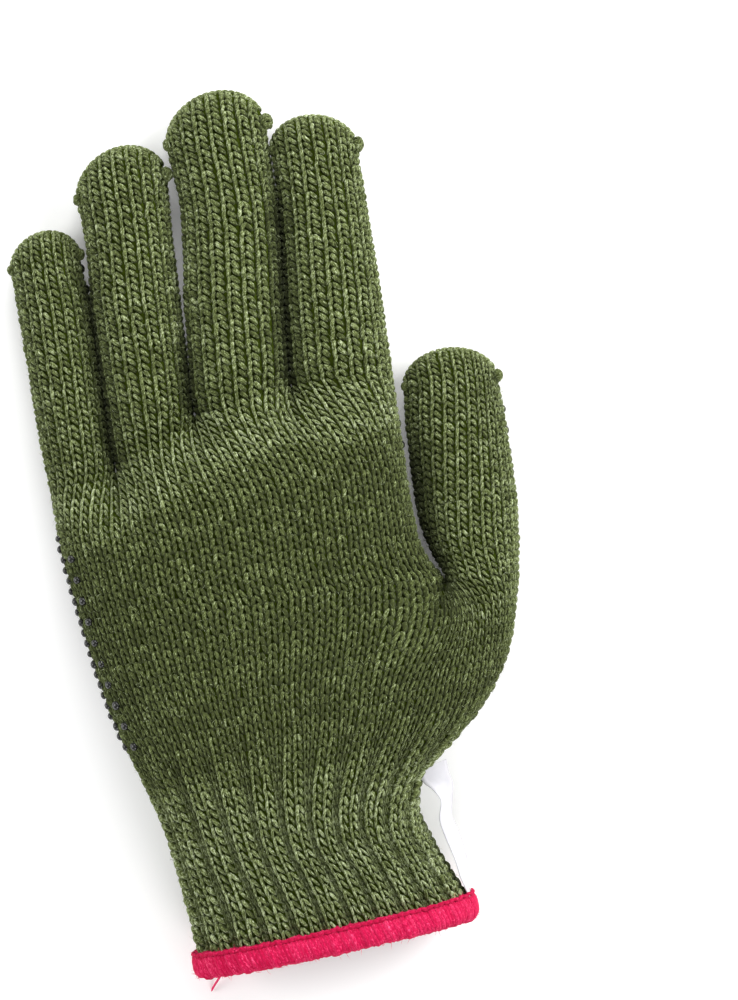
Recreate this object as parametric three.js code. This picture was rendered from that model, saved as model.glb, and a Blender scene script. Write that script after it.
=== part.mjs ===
// A left-hand work glove, knitted in one go from thick yarn, lying on its palm with its five fingers
// filled out. It is built the way it is knitted: five finger tubes, the upper hand that four of them
// run into, the lower hand that the thumb joins, the ribbed cuff, the overlocked hem and a side label.
// Millimetres. +Y runs to the fingertips, +Z is the back of the hand, +X is the thumb's side, z = 0 is
// what the glove lies on.
import * as THREE from "three";
import { mergeVertices } from "three/addons/utils/BufferGeometryUtils.js";

// Driving sizes
const KNIT_WALL = 2; // thickness of the knitted cloth
const NODE_GAP = 0.4; // clearance kept between two neighbouring pieces
const KNUCKLE_FADE = 24; // the way over which the finger tubes melt into the oval of the hand
const THUMB_FADE = 34; // the same for the thumb
const THUMB_CROTCH = -24; // where the thumb leaves the hand
const CUFF_TOP = -78; // where plain knitting turns into ribs
const HEM_TOP = -118.8; // where the ribs end and the hem begins
const HEM_HEIGHT = 5.9;
const HEM_THICKNESS = 4.4;
const HEM_PROUD = 0.7; // how far the hem stands out past the ribs
const HEM_LEAN = 0.068; // slope of the hem, which climbs to the thumb's side
const RIB_DEPTH = 1.5; // from the crown of a rib to the bottom of its groove
const FLOOR_ROUNDING = 1; // how softly the cloth flattens on what it lies on
const MIDDLE_OF_OUTLINE = { x: 1.16, y: -0.79 }; // the outline's middle in the tables' own frame

// Wales, the upright columns of stitches, on one face of each finger tube
const WALES = { little: 8, ring: 10, middle: 10, index: 10, thumb: 10 };
const FINGERS = Object.keys(WALES);
const WALES_IN_RIB = 4; // two that stand proud and two that lie in the groove

// Smooth curve through table rows: monotone cubic, held level past both ends.
function curveThrough(rows, xKey, yKey) {
  const xs = rows.map((row) => row[xKey]);
  const ys = rows.map((row) => row[yKey]);
  const slopes = xs.slice(1).map((x, i) => (ys[i + 1] - ys[i]) / (x - xs[i]));
  const tangents = xs.map((_, i) => {
    if (i === 0) return slopes[0];
    if (i === xs.length - 1) return slopes[slopes.length - 1];
    const [before, after] = [slopes[i - 1], slopes[i]];
    return before * after <= 0 ? 0 : (2 * before * after) / (before + after);
  });
  return (x) => {
    if (x <= xs[0]) return ys[0];
    if (x >= xs[xs.length - 1]) return ys[ys.length - 1];
    let i = 0;
    while (x > xs[i + 1]) i += 1;
    const span = xs[i + 1] - xs[i];
    const u = (x - xs[i]) / span;
    const rise = u * u * (3 - 2 * u);
    const bendIn = u * (1 - u) * (1 - u);
    const bendOut = u * u * (1 - u);
    return ys[i] + (ys[i + 1] - ys[i]) * rise + span * (tangents[i] * bendIn - tangents[i + 1] * bendOut);
  };
}

const table = (columns, rows) => {
  const named = rows.map((row) => Object.fromEntries(columns.map((name, i) => [name, row[i]])));
  named.sort((a, b) => a[columns[0]] - b[columns[0]]);
  const curves = columns.slice(1).map((name) => [name, curveThrough(named, columns[0], name)]);
  return Object.fromEntries(curves);
};

// Each finger above its crotches: left and right edge, and the height of its top and underside.
const FINGER_TABLES = {
  little: table(
    ["v", "left", "right", "top", "under"],
    [
      [88, -67.0, -46.3, 16.5, -2.2],
      [80, -66.8, -46.2, 17.6, -2.2],
      [60, -66.3, -45.6, 19.4, -2.2],
      [40, -65.9, -45.4, 20.4, -0.6],
      [28, -65.6, -45.3, 19.8, 0.6],
      [21, -65.1, -45.3, 20.4, 1.4],
    ],
  ),
  ring: table(
    ["v", "left", "right", "top", "under"],
    [
      [108, -46.0, -17.5, 17.6, -2.2],
      [100, -44.9, -18.0, 18.8, -2.2],
      [90, -44.2, -18.6, 19.8, -2.2],
      [65, -44.4, -19.3, 22.0, -1.6],
      [50, -44.5, -19.8, 23.2, 0.2],
      [38, -44.5, -20.2, 23.6, 1.8],
      [28, -44.7, -20.3, 22.8, 2.8],
      [21, -44.7, -20.4, 23.4, 3.2],
    ],
  ),
  middle: table(
    ["v", "left", "right", "top", "under"],
    [
      [118, -17.2, 12.8, 18.0, -2.2],
      [108, -16.4, 12.4, 19.4, -2.2],
      [95, -15.4, 12.0, 21.0, -2.2],
      [80, -16.6, 11.3, 22.2, -1.6],
      [65, -18.4, 10.4, 23.8, 0.0],
      [50, -19.2, 9.4, 25.2, 1.8],
      [38, -19.6, 8.7, 26.2, 3.2],
      [33, -19.7, 8.7, 26.6, 3.6],
    ],
  ),
  index: table(
    ["v", "left", "right", "top", "under"],
    [
      [108, 12.9, 38.4, 18.0, -2.2],
      [101, 13.0, 38.2, 19.2, -2.2],
      [90, 12.8, 38.4, 20.6, -2.2],
      [80, 12.4, 38.5, 21.8, -2.0],
      [65, 11.4, 38.7, 23.6, 0.0],
      [50, 10.2, 38.6, 25.4, 1.6],
      [38, 9.3, 38.5, 26.6, 2.8],
    ],
  ),
  thumb: table(
    ["v", "left", "right", "top", "under"],
    [
      [34, 41.2, 68.6, 20.0, -2.2],
      [20, 40.0, 69.2, 22.2, -2.2],
      [0, 39.5, 69.1, 24.4, -2.2],
      [-10, 40.3, 68.3, 25.4, -2.2],
      [-18, 42.6, 67.3, 26.2, -2.2],
      [-24, 45.2, 66.4, 27.0, -2.2],
    ],
  ),
};

// Fingertips: height of the two ends of the closing seam, and how far the tip domes beyond them.
const TIPS = {
  little: { leftEnd: 82.5, rightEnd: 84.5, dome: 9.4 },
  ring: { leftEnd: 99.5, rightEnd: 103.5, dome: 12.4 },
  middle: { leftEnd: 111.5, rightEnd: 114.5, dome: 12.8 },
  index: { leftEnd: 106.0, rightEnd: 104.0, dome: 10.0 },
  thumb: { leftEnd: 32.0, rightEnd: 31.5, dome: 10.3 },
};

// Height of the crotch on either side of each finger where it runs into the hand.
const CROTCHES = {
  little: [21, 21],
  ring: [21, 33],
  middle: [33, 38],
  index: [38, 38],
  thumb: [THUMB_CROTCH, THUMB_CROTCH],
};

// The hand and cuff below the crotches: x of the five lines that part one finger's wales from the next.
const HAND_EDGES = table(
  ["v", "outer", "little", "ring", "middle", "index", "thumb"],
  [
    [38, -65.8, -45.0, -20.0, 9.0, 38.5, 69],
    [20, -65.1, -45.0, -20.0, 9.0, 38.4, 69],
    [5, -64.0, -44.6, -19.6, 9.2, 38.3, 69],
    [-10, -62.4, -43.6, -19.0, 9.6, 38.9, 68.3],
    [-18, -61.3, -43.0, -18.6, 9.8, 41.2, 67.3],
    [-24, -60.5, -42.6, -18.4, 9.8, 44.6, 66.4],
    [-34, -59.0, -42.0, -18.0, 10.0, 40.0, 64.2],
    [-46, -57.0, -41.6, -18.0, 9.6, 34.0, 60.4],
    [-56, -54.4, -41.4, -18.4, 8.4, 30.0, 54.6],
    [-66, -51.4, -41.2, -19.6, 6.2, 26.4, 45.8],
    [-74, -48.8, -41.0, -21.2, 3.6, 23.4, 36.0],
    [-80, -47.0, -40.8, -22.4, 2.0, 21.0, 29.6],
    [-88, -45.4, -39.8, -21.8, 2.0, 21.4, 27.8],
    [-100, -43.7, -38.0, -19.6, 4.4, 24.0, 30.8],
    [-110, -42.6, -36.8, -17.8, 6.6, 27.2, 34.6],
    [-119, -41.8, -35.8, -16.4, 8.8, 30.2, 38.6],
  ],
);
const EDGE_NAMES = ["outer", "little", "ring", "middle", "index", "thumb"];

// The oval of the hand where the fingers have melted into it: top, underside and how square it is.
const UPPER_OVAL = table(
  ["v", "top", "under", "power"],
  [
    [38, 32.5, 2.6, 2.5],
    [20, 34.6, 2.6, 2.5],
    [5, 35.4, 2.4, 2.5],
    [-15, 35.2, 1.6, 2.5],
    [-60, 35.0, 0.0, 2.5],
  ],
);
const LOWER_OVAL = table(
  ["v", "top", "under", "power"],
  [
    [-24, 35.2, -1.4, 2.5],
    [-45, 35.6, -2.4, 2.5],
    [-62, 36.4, -2.4, 2.4],
    [-78, 36.8, -2.0, 2.2],
    [-92, 37.0, -2.0, 2.15],
    [-119, 36.2, -2.2, 2.2],
  ],
);
// The pad of cloth over the knuckles and the crease above it, on the back of the hand only.
const KNUCKLE_PAD = { below: 15, reach: 7, height: 1.5 };
const KNUCKLE_CREASE = { below: 1, reach: 5, height: -1.6 };

const clamp01 = (x) => Math.min(1, Math.max(0, x));
const smooth = (x) => clamp01(x) ** 2 * (3 - 2 * clamp01(x));
const mix = (a, b, u) => a + (b - a) * u;
const swell = (pad, below) => pad.height * Math.exp(-(((below - pad.below) / pad.reach) ** 2));

// Lifts what would lie under the floor, with a soft edge round the flat it leaves.
function restOnFloor(z) {
  if (z >= FLOOR_ROUNDING) return z;
  if (z <= -FLOOR_ROUNDING) return 0;
  return (z + FLOOR_ROUNDING) ** 2 / (4 * FLOOR_ROUNDING);
}

// The same for a face that lies inset below the outer one, so that the cloth keeps its thickness.
const settled = (z, inset) => (inset > 0 ? restOnFloor(z - inset) + inset : restOnFloor(z));

// Half height and middle height of an oval whose top and underside are given, less the inset.
const ovalOf = (row, v, inset) => ({
  middle: (row.top(v) + row.under(v)) / 2,
  half: (row.top(v) - row.under(v)) / 2 - inset,
});

// Height above its middle of a rounded oval at x between its two edges.
function ovalHeight(half, left, right, x, power) {
  const across = Math.min(1, Math.abs((2 * x - left - right) / (right - left)));
  return half * (1 - across ** power) ** (1 / power);
}

// Left and right edge of a finger's strip of wales at height v.
function stripEdges(finger, v, inset) {
  const i = FINGERS.indexOf(finger);
  const [leftCrotch, rightCrotch] = CROTCHES[finger];
  const own = FINGER_TABLES[finger];
  const left = v > leftCrotch ? own.left(v) : HAND_EDGES[EDGE_NAMES[i]](v);
  const right = v > rightCrotch ? own.right(v) : HAND_EDGES[EDGE_NAMES[i + 1]](v);
  const onHandEdge = { left: finger === "little", right: finger === "thumb" };
  if (finger === "index" && v > THUMB_CROTCH) onHandEdge.right = true;
  return [
    left + (v > leftCrotch || onHandEdge.left ? inset : 0),
    right - (v > rightCrotch || onHandEdge.right ? inset : 0),
  ];
}

// Point on the back (face 1) or palm (face -1) of the glove. across runs from -1 at the strip's left
// edge to 1 at its right, v is the height along the glove, inset is the depth below the outer face.
function surfacePoint(finger, face, across, v, inset) {
  const own = FINGER_TABLES[finger];
  const [left, right] = stripEdges(finger, v, inset);
  const x = mix(left, right, (across + 1) / 2);
  const [leftCrotch, rightCrotch] = CROTCHES[finger];
  const below = mix(leftCrotch, rightCrotch, (across + 1) / 2) - v;

  const tube = ovalOf(own, v, inset);
  let middle = tube.middle;
  let square = tube.half ** 2 * Math.max(0, 1 - across ** 2);
  const blend = (height, level, share) => {
    square = mix(square, height ** 2, share);
    middle = mix(middle, level, share);
  };

  const outer = HAND_EDGES.outer(v) + inset;
  if (finger !== "thumb") {
    const hand = ovalOf(UPPER_OVAL, v, inset);
    const edge = HAND_EDGES.index(v) - (v > THUMB_CROTCH ? inset : 0);
    const height = ovalHeight(hand.half, outer, edge, x, UPPER_OVAL.power(v));
    blend(height, hand.middle, smooth(below / KNUCKLE_FADE));
  }
  const hand = ovalOf(LOWER_OVAL, v, inset);
  const height = ovalHeight(hand.half, outer, HAND_EDGES.thumb(v) - inset, x, LOWER_OVAL.power(v));
  blend(height, hand.middle, smooth((THUMB_CROTCH - v) / THUMB_FADE));

  let z = middle + face * Math.sqrt(square);
  if (face > 0 && finger !== "thumb") {
    const flatness = Math.sqrt(square) / tube.half;
    z += (swell(KNUCKLE_PAD, below) + swell(KNUCKLE_CREASE, below)) * clamp01(flatness);
  }
  const lean = HEM_LEAN * smooth((-64 - v) / 50);
  return new THREE.Vector3(x, v + lean * (x + 1.5), settled(z, inset));
}

// Point on the domed tip. turn goes from 0 at the dome's foot to 1 at the seam that closes the tube.
function tipPoint(finger, face, across, turn, inset) {
  const { leftEnd, rightEnd, dome } = TIPS[finger];
  const foot = mix(leftEnd, rightEnd, (across + 1) / 2);
  const own = FINGER_TABLES[finger];
  const { middle, half } = ovalOf(own, foot, inset);
  const x = mix(own.left(foot) + inset, own.right(foot) - inset, (across + 1) / 2);
  const chord = Math.sqrt(Math.max(0, 1 - across ** 2));
  const angle = (turn * Math.PI) / 2;
  const y = foot + (dome - inset) * chord * Math.sin(angle);
  const z = middle + face * half * chord * Math.cos(angle);
  return new THREE.Vector3(x, y, settled(z, inset));
}

// Values of across that part one face of a strip into equal lengths of cloth at height v.
function evenSteps(pointAt, steps) {
  const samples = 40;
  const places = Array.from({ length: samples + 1 }, (_, i) => -Math.cos((Math.PI * i) / samples));
  const points = places.map(pointAt);
  const lengths = [0];
  for (let i = 1; i <= samples; i += 1) lengths.push(lengths[i - 1] + points[i].distanceTo(points[i - 1]));
  return Array.from({ length: steps + 1 }, (_, step) => {
    const wanted = (lengths[samples] * step) / steps;
    let i = 0;
    while (i < samples - 1 && lengths[i + 1] < wanted) i += 1;
    return mix(places[i], places[i + 1], clamp01((wanted - lengths[i]) / (lengths[i + 1] - lengths[i])));
  });
}

// Once round a tube: along the back from left to right, then along the palm from right to left.
function loopAround(strips, rowHeight, steps, inset) {
  const faces = [1, -1].map((face) =>
    strips.flatMap((finger, n) => {
      const heightAt = (across) => rowHeight(finger, across);
      const pointAt = (across) => surfacePoint(finger, face, across, heightAt(across), inset);
      const points = evenSteps(pointAt, steps).map(pointAt);
      return n === strips.length - 1 ? points : points.slice(0, -1);
    }),
  );
  return [...faces[0].slice(0, -1), ...faces[1].reverse().slice(0, -1)];
}

// A closed mesh from loops of points that all have one length, with faces between neighbours.
class Skin {
  constructor() {
    this.corners = [];
  }
  triangle(a, b, c) {
    if (a.distanceTo(b) < 1e-4 || b.distanceTo(c) < 1e-4 || a.distanceTo(c) < 1e-4) return;
    this.corners.push(a, b, c);
  }
  quad(a, b, c, d) {
    this.triangle(a, b, c);
    this.triangle(a, c, d);
  }
  band(lower, upper, closed = true) {
    const count = lower.length;
    for (let i = 0; i < (closed ? count : count - 1); i += 1) {
      const next = (i + 1) % count;
      this.quad(lower[i], lower[next], upper[next], upper[i]);
    }
  }
  bands(loops) {
    for (let i = 1; i < loops.length; i += 1) this.band(loops[i - 1], loops[i]);
  }
  geometry() {
    const made = new THREE.BufferGeometry().setFromPoints(this.corners);
    const merged = mergeVertices(made, 1e-4);
    const signed = signedVolume(merged);
    if (signed < 0) flip(merged);
    return merged.toNonIndexed();
  }
}

function signedVolume(geometry) {
  const place = geometry.getAttribute("position");
  const corner = (i) => new THREE.Vector3().fromBufferAttribute(place, geometry.index.getX(i));
  let volume = 0;
  for (let i = 0; i < geometry.index.count; i += 3) {
    volume += corner(i).dot(corner(i + 1).cross(corner(i + 2))) / 6;
  }
  return volume;
}

function flip(geometry) {
  const index = geometry.index;
  for (let i = 0; i < index.count; i += 3) {
    const [b, c] = [index.getX(i + 1), index.getX(i + 2)];
    index.setX(i + 1, c);
    index.setX(i + 2, b);
  }
}

// Open tube of cloth: outer and inner skins joined at both rims.
function tubeWall(outer, inner) {
  const skin = new Skin();
  skin.bands(outer);
  skin.bands([...inner].reverse());
  skin.band(inner[0], outer[0]);
  skin.band(outer[outer.length - 1], inner[inner.length - 1]);
  return skin.geometry();
}

// Finger tube: open where it joins the hand, closed at the tip along a seam from side to side.
const FINGER_STEPS = 9; // faces across one side of a finger
const TIP_ROWS = 4;
function fingerGeometry(finger, rowSpacing) {
  const [leftCrotch, rightCrotch] = CROTCHES[finger];
  const { leftEnd, rightEnd } = TIPS[finger];
  const rows = Math.round((leftEnd - leftCrotch) / rowSpacing);
  const skin = new Skin();
  const rims = [0, KNIT_WALL].map((inset) => {
    const loops = Array.from({ length: rows + 1 }, (_, row) => {
      const heightAt = (_, across) => {
        const side = (across + 1) / 2;
        const foot = mix(leftCrotch, rightCrotch, side) + NODE_GAP / 2;
        return mix(foot, mix(leftEnd, rightEnd, side), row / rows);
      };
      return loopAround([finger], heightAt, FINGER_STEPS, inset);
    });
    const places = evenSteps((across) => tipPoint(finger, 1, across, 0, inset), FINGER_STEPS);
    for (let row = 1; row <= TIP_ROWS; row += 1) {
      const [back, palm] = [1, -1].map((face) =>
        places.map((across) => tipPoint(finger, face, across, row / TIP_ROWS, inset)),
      );
      if (row === TIP_ROWS) palm.splice(0, palm.length, ...back);
      loops.push([...back.slice(0, -1), ...palm.reverse().slice(0, -1)]);
    }
    skin.bands(inset ? [...loops].reverse() : loops);
    return loops[0];
  });
  skin.band(rims[1], rims[0]);
  return skin.geometry();
}

// Part of the hand between the crotches of its fingers and a level line further down.
function handGeometry(fingers, topLine, bottom, rows, steps) {
  const [outer, inner] = [0, KNIT_WALL].map((inset) =>
    Array.from({ length: rows + 1 }, (_, row) => {
      const heightAt = (finger, across) => mix(bottom, topLine(finger, across), row / rows);
      return loopAround(fingers, heightAt, steps, inset);
    }),
  );
  keepOpenAtCrotches(outer, inner);
  return tubeWall(outer, inner);
}

// Where a crotch pinches the hand shut, the inner skins of the two faces are kept this far apart.
function keepOpenAtCrotches(outer, inner) {
  const least = { wall: 1.4, opening: 1.2 };
  [outer, inner].forEach((loops, depth) => {
    const half = least.opening / 2 + (depth ? 0 : least.wall);
    loops.forEach((loop) => {
      const count = loop.length / 2;
      for (let i = 1; i < count; i += 1) {
        const [back, palm] = [loop[i], loop[loop.length - i]];
        const middle = (back.z + palm.z) / 2;
        if (back.z - palm.z < 2 * half) {
          back.z = middle + half;
          palm.z = middle - half;
        }
      }
    });
  });
}

// The cuff: a loop has one point for each wale, two on the crown of a rib and two in its groove.
function ribCuffGeometry(rows) {
  const grooveOf = (n) => (n % WALES_IN_RIB < WALES_IN_RIB / 2 ? 0 : RIB_DEPTH);
  const loops = (inset, ribbed) =>
    Array.from({ length: rows + 1 }, (_, row) => {
      const v = mix(HEM_TOP + NODE_GAP / 2, CUFF_TOP - NODE_GAP / 2, row / rows);
      const fade = ribbed ? smooth((CUFF_TOP - v + 2) / 12) : 0;
      const points = [1, -1].map((face) =>
        FINGERS.flatMap((finger) => {
          const at = (across, depth) => surfacePoint(finger, face, across, v, depth);
          const places = evenSteps((across) => at(across, 0), 2 * WALES[finger]);
          return places.filter((_, i) => i % 2).map((across) => (depth) => at(across, depth));
        }),
      );
      const around = [...points[0], ...points[1].reverse()];
      return around.map((pointAt, n) => pointAt(inset + fade * grooveOf(n)));
    });
  return tubeWall(loops(0, true), loops(KNIT_WALL + RIB_DEPTH / 2, false));
}

// The hem: a roll of overlock thread of rounded section round the end of the cuff.
function hemGeometry(aroundSteps) {
  const corners = 8;
  const line = (depth, v) => loopAround(FINGERS, () => v, aroundSteps, depth);
  const skin = new Skin();
  const loops = Array.from({ length: corners }, (_, corner) => {
    const angle = (2 * Math.PI * (corner + 0.5)) / corners;
    const bulge = (value) => Math.sign(value) * Math.abs(value) ** 0.7;
    const depth = HEM_THICKNESS / 2 - (HEM_THICKNESS / 2) * bulge(Math.cos(angle)) - HEM_PROUD;
    const v = HEM_TOP - NODE_GAP / 2 - (HEM_HEIGHT / 2) * (1 - bulge(Math.sin(angle)));
    return line(depth, v);
  });
  skin.bands([...loops, loops[0]]);
  return skin.geometry();
}

// The side label: a woven ribbon sewn in at both ends, free of the cuff between them.
const LABEL = { width: 11, thickness: 1 };
const LABEL_PATH = [
  { x: 34.0, y: -77.8, z: 17.5, turn: 40 },
  { x: 34.8, y: -84.0, z: 17.6, turn: 26 },
  { x: 35.4, y: -91.0, z: 17.6, turn: 17 },
  { x: 36.2, y: -99.0, z: 17.6, turn: 18 },
  { x: 37.6, y: -107.0, z: 17.6, turn: 15 },
  { x: 39.6, y: -115.2, z: 17.6, turn: 8 },
]; // turn is the angle in degrees between the ribbon's width and the upright
function labelGeometry() {
  const loops = LABEL_PATH.map(({ x, y, z, turn }) => {
    const angle = THREE.MathUtils.degToRad(turn);
    const wide = new THREE.Vector3(Math.sin(angle), 0, Math.cos(angle)).multiplyScalar(LABEL.width / 2);
    const thick = new THREE.Vector3(Math.cos(angle), 0, -Math.sin(angle)).multiplyScalar(LABEL.thickness / 2);
    const centre = new THREE.Vector3(x, y, z);
    return [
      centre.clone().add(wide).add(thick),
      centre.clone().add(wide).sub(thick),
      centre.clone().sub(wide).sub(thick),
      centre.clone().sub(wide).add(thick),
    ];
  });
  const skin = new Skin();
  skin.bands(loops);
  const last = loops[loops.length - 1];
  skin.quad(...[...loops[0]].reverse());
  skin.quad(...last);
  return skin.geometry();
}

// Materials, in the colours of the photograph
const yarn = () => new THREE.MeshStandardMaterial({ color: 0x6b7648, roughness: 0.95, metalness: 0 });
const overlockThread = () => new THREE.MeshStandardMaterial({ color: 0xdf1e4f, roughness: 0.85, metalness: 0 });
const wovenLabel = () => new THREE.MeshStandardMaterial({ color: 0xf0eff1, roughness: 0.6, metalness: 0 });

const glove = new THREE.Group();
glove.position.set(-MIDDLE_OF_OUTLINE.x, -MIDDLE_OF_OUTLINE.y, 0);
function addPiece(name, geometry, material) {
  const mesh = new THREE.Mesh(geometry, material);
  mesh.name = name;
  glove.add(mesh);
}

const FINGER_ROW = 9; // spacing of the rows of faces along a finger
for (const finger of FINGERS) {
  const name = finger === "thumb" ? finger : `${finger}_finger`;
  addPiece(name, fingerGeometry(finger, FINGER_ROW), yarn());
}

const crotchLine = (finger, across) =>
  mix(CROTCHES[finger][0], CROTCHES[finger][1], (across + 1) / 2) - NODE_GAP / 2;
const fourFingers = FINGERS.filter((finger) => finger !== "thumb");
addPiece("upper_hand", handGeometry(fourFingers, crotchLine, THUMB_CROTCH + NODE_GAP / 2, 7, 5), yarn());
const thumbLine = () => THUMB_CROTCH - NODE_GAP / 2;
addPiece("lower_hand", handGeometry(FINGERS, thumbLine, CUFF_TOP + NODE_GAP / 2, 7, 5), yarn());
addPiece("rib_cuff", ribCuffGeometry(5), yarn());
addPiece("hem", hemGeometry(4), overlockThread());
addPiece("side_label", labelGeometry(), wovenLabel());

export default glove;
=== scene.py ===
# %% [markdown]
# # A knitted grip glove, stitch by stitch
# A coarse knitted glove gets its whole character from its stitches: every one of them is a pair of fat
# legs of yarn that catch the light, with a dark gap between them. A bump map can't give that, because the
# gaps are nearly as deep as the yarn is thick. So the glove's surface is worked out as a formula, the
# columns and rows of the knitting are laid over it, and each leg of each stitch becomes a small piece of
# geometry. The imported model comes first, because it says where every part lies.

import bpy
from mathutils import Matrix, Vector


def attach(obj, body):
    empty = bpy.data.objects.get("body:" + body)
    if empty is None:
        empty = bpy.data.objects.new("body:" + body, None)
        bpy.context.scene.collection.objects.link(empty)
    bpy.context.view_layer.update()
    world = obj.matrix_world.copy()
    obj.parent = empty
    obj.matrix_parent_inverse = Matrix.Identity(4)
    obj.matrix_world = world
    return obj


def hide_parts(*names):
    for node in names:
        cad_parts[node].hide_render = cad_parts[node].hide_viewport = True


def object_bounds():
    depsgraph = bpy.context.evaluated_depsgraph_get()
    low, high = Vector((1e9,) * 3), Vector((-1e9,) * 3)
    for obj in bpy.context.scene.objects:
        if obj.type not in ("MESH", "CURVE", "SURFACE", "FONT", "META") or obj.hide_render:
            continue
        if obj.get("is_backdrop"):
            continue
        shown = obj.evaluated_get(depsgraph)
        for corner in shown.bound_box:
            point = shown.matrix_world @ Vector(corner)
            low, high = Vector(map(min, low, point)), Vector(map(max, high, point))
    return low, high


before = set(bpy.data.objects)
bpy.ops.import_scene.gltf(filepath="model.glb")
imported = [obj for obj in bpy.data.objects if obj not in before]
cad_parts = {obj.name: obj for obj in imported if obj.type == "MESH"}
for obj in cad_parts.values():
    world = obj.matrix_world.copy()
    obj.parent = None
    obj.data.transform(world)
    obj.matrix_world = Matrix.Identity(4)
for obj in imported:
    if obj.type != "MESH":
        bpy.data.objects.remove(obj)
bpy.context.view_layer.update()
print("solids:", sorted(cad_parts))

# %% Libraries
import math

import bpy
import numpy as np
from mathutils import Vector

LIFT = 0.02  # nothing comes closer to the floor than this
MM = 0.001  # everything below is worked out in millimetres and turned into metres when it becomes a mesh
rng = np.random.default_rng(11)

# %% [markdown]
# ## Camera
# The photograph was taken from straight above with a long lens, and the glove lies a little askew in it.
# The camera is placed over the point that is in the middle of the picture, and its lens is worked out
# from the scale of the photograph.

# %% Camera
PHOTO_HEIGHT = 1000  # pixels
SCALE = 3.456  # photo pixels to a millimetre, at the height where the outline of the glove lies
OUTLINE_LEVEL = 14.0  # that height over the floor
CAMERA_HEIGHT = 1100.0
LEAN_IN_PHOTO = math.radians(8.5)
VIEW_CENTRE = (25.16, 2.71)  # the point of the glove's plan under the middle of the photograph
SENSOR = 36.0

lens_distance = CAMERA_HEIGHT - OUTLINE_LEVEL
camera_data = bpy.data.cameras.new("camera")
camera_data.sensor_width = SENSOR
camera_data.lens = SENSOR * lens_distance / (PHOTO_HEIGHT / SCALE)
camera = bpy.data.objects.new("camera", camera_data)
camera.location = (VIEW_CENTRE[0] * MM, VIEW_CENTRE[1] * MM, CAMERA_HEIGHT * MM)
camera.rotation_euler = (0, 0, -LEAN_IN_PHOTO)
bpy.context.scene.collection.objects.link(camera)
bpy.context.scene.camera = camera
print("lens:", round(camera_data.lens, 1), "mm")

# %% [markdown]
# ## Light
# The light is that of a tent of white cloth, which is brightest low down on its walls and dim around the
# camera at its top. A real tent could be built round the glove, but a pale surround and four large round
# lamps give the same soft shadows with less noise.

# %% Light
LAMPS = {  # where each lamp hangs, in metres, and how many watts it has
    "right_wall": ((0.95, 0.35, 0.60), 14.5),
    "far_wall": ((0.15, 1.00, 0.60), 9.0),
    "left_wall": ((-0.95, 0.10, 0.50), 6.5),
    "near_wall": ((0.10, -1.00, 0.60), 6.5),
}
LAMP_SIZE = 0.7
SURROUND_STRENGTH = 0.36


def add_area_light(name, place, target, size, watts):
    lamp = bpy.data.lights.new(name, "AREA")
    lamp.shape = "DISK"
    lamp.size = size
    lamp.energy = watts
    thing = bpy.data.objects.new(name, lamp)
    thing.location = place
    away = thing.location - Vector(target)
    thing.rotation_euler = away.to_track_quat("Z", "Y").to_euler()
    bpy.context.scene.collection.objects.link(thing)


world = bpy.data.worlds.new("light_tent")
world.use_nodes = True
surround = world.node_tree.nodes["Background"].inputs
surround["Color"].default_value = (1, 1, 1, 1)
surround["Strength"].default_value = SURROUND_STRENGTH
bpy.context.scene.world = world
bpy.context.scene.view_settings.view_transform = "Standard"
for name, (place, watts) in LAMPS.items():
    add_area_light(name, place, (0.0, 0.0, 0.0), LAMP_SIZE, watts)

# %% [markdown]
# ## Sizes
# The same sizes as in the solids: tables with one row for each height along the glove, in millimetres.
# A smooth curve is drawn through each column of a table, so a few rows are enough.

# %% Curves through table rows
def curve_through(xs, ys):
    """Monotone cubic through the rows, level past both ends. Works on numbers and on whole arrays."""
    xs, ys = np.asarray(xs, float), np.asarray(ys, float)
    slopes = np.diff(ys) / np.diff(xs)
    tangents = np.empty_like(ys)
    tangents[0], tangents[-1] = slopes[0], slopes[-1]
    before, after = slopes[:-1], slopes[1:]
    same = before * after > 0
    total = np.where(same, before + after, 1.0)
    tangents[1:-1] = np.where(same, 2 * before * after / total, 0.0)

    def at(x):
        x = np.clip(x, xs[0], xs[-1])
        i = np.clip(np.searchsorted(xs, x, side="right") - 1, 0, len(xs) - 2)
        span = xs[i + 1] - xs[i]
        u = (x - xs[i]) / span
        rise = u * u * (3 - 2 * u)
        bend = tangents[i] * u * (1 - u) ** 2 - tangents[i + 1] * u * u * (1 - u)
        return ys[i] + (ys[i + 1] - ys[i]) * rise + span * bend

    return at


def table(columns, rows):
    """A curve for each column but the first, which holds the heights."""
    rows = np.array(sorted(rows), float)
    return {name: curve_through(rows[:, 0], rows[:, i + 1]) for i, name in enumerate(columns[1:])}


print("halfway between two rows:", curve_through([0, 1], [0, 10])(0.5))

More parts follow.
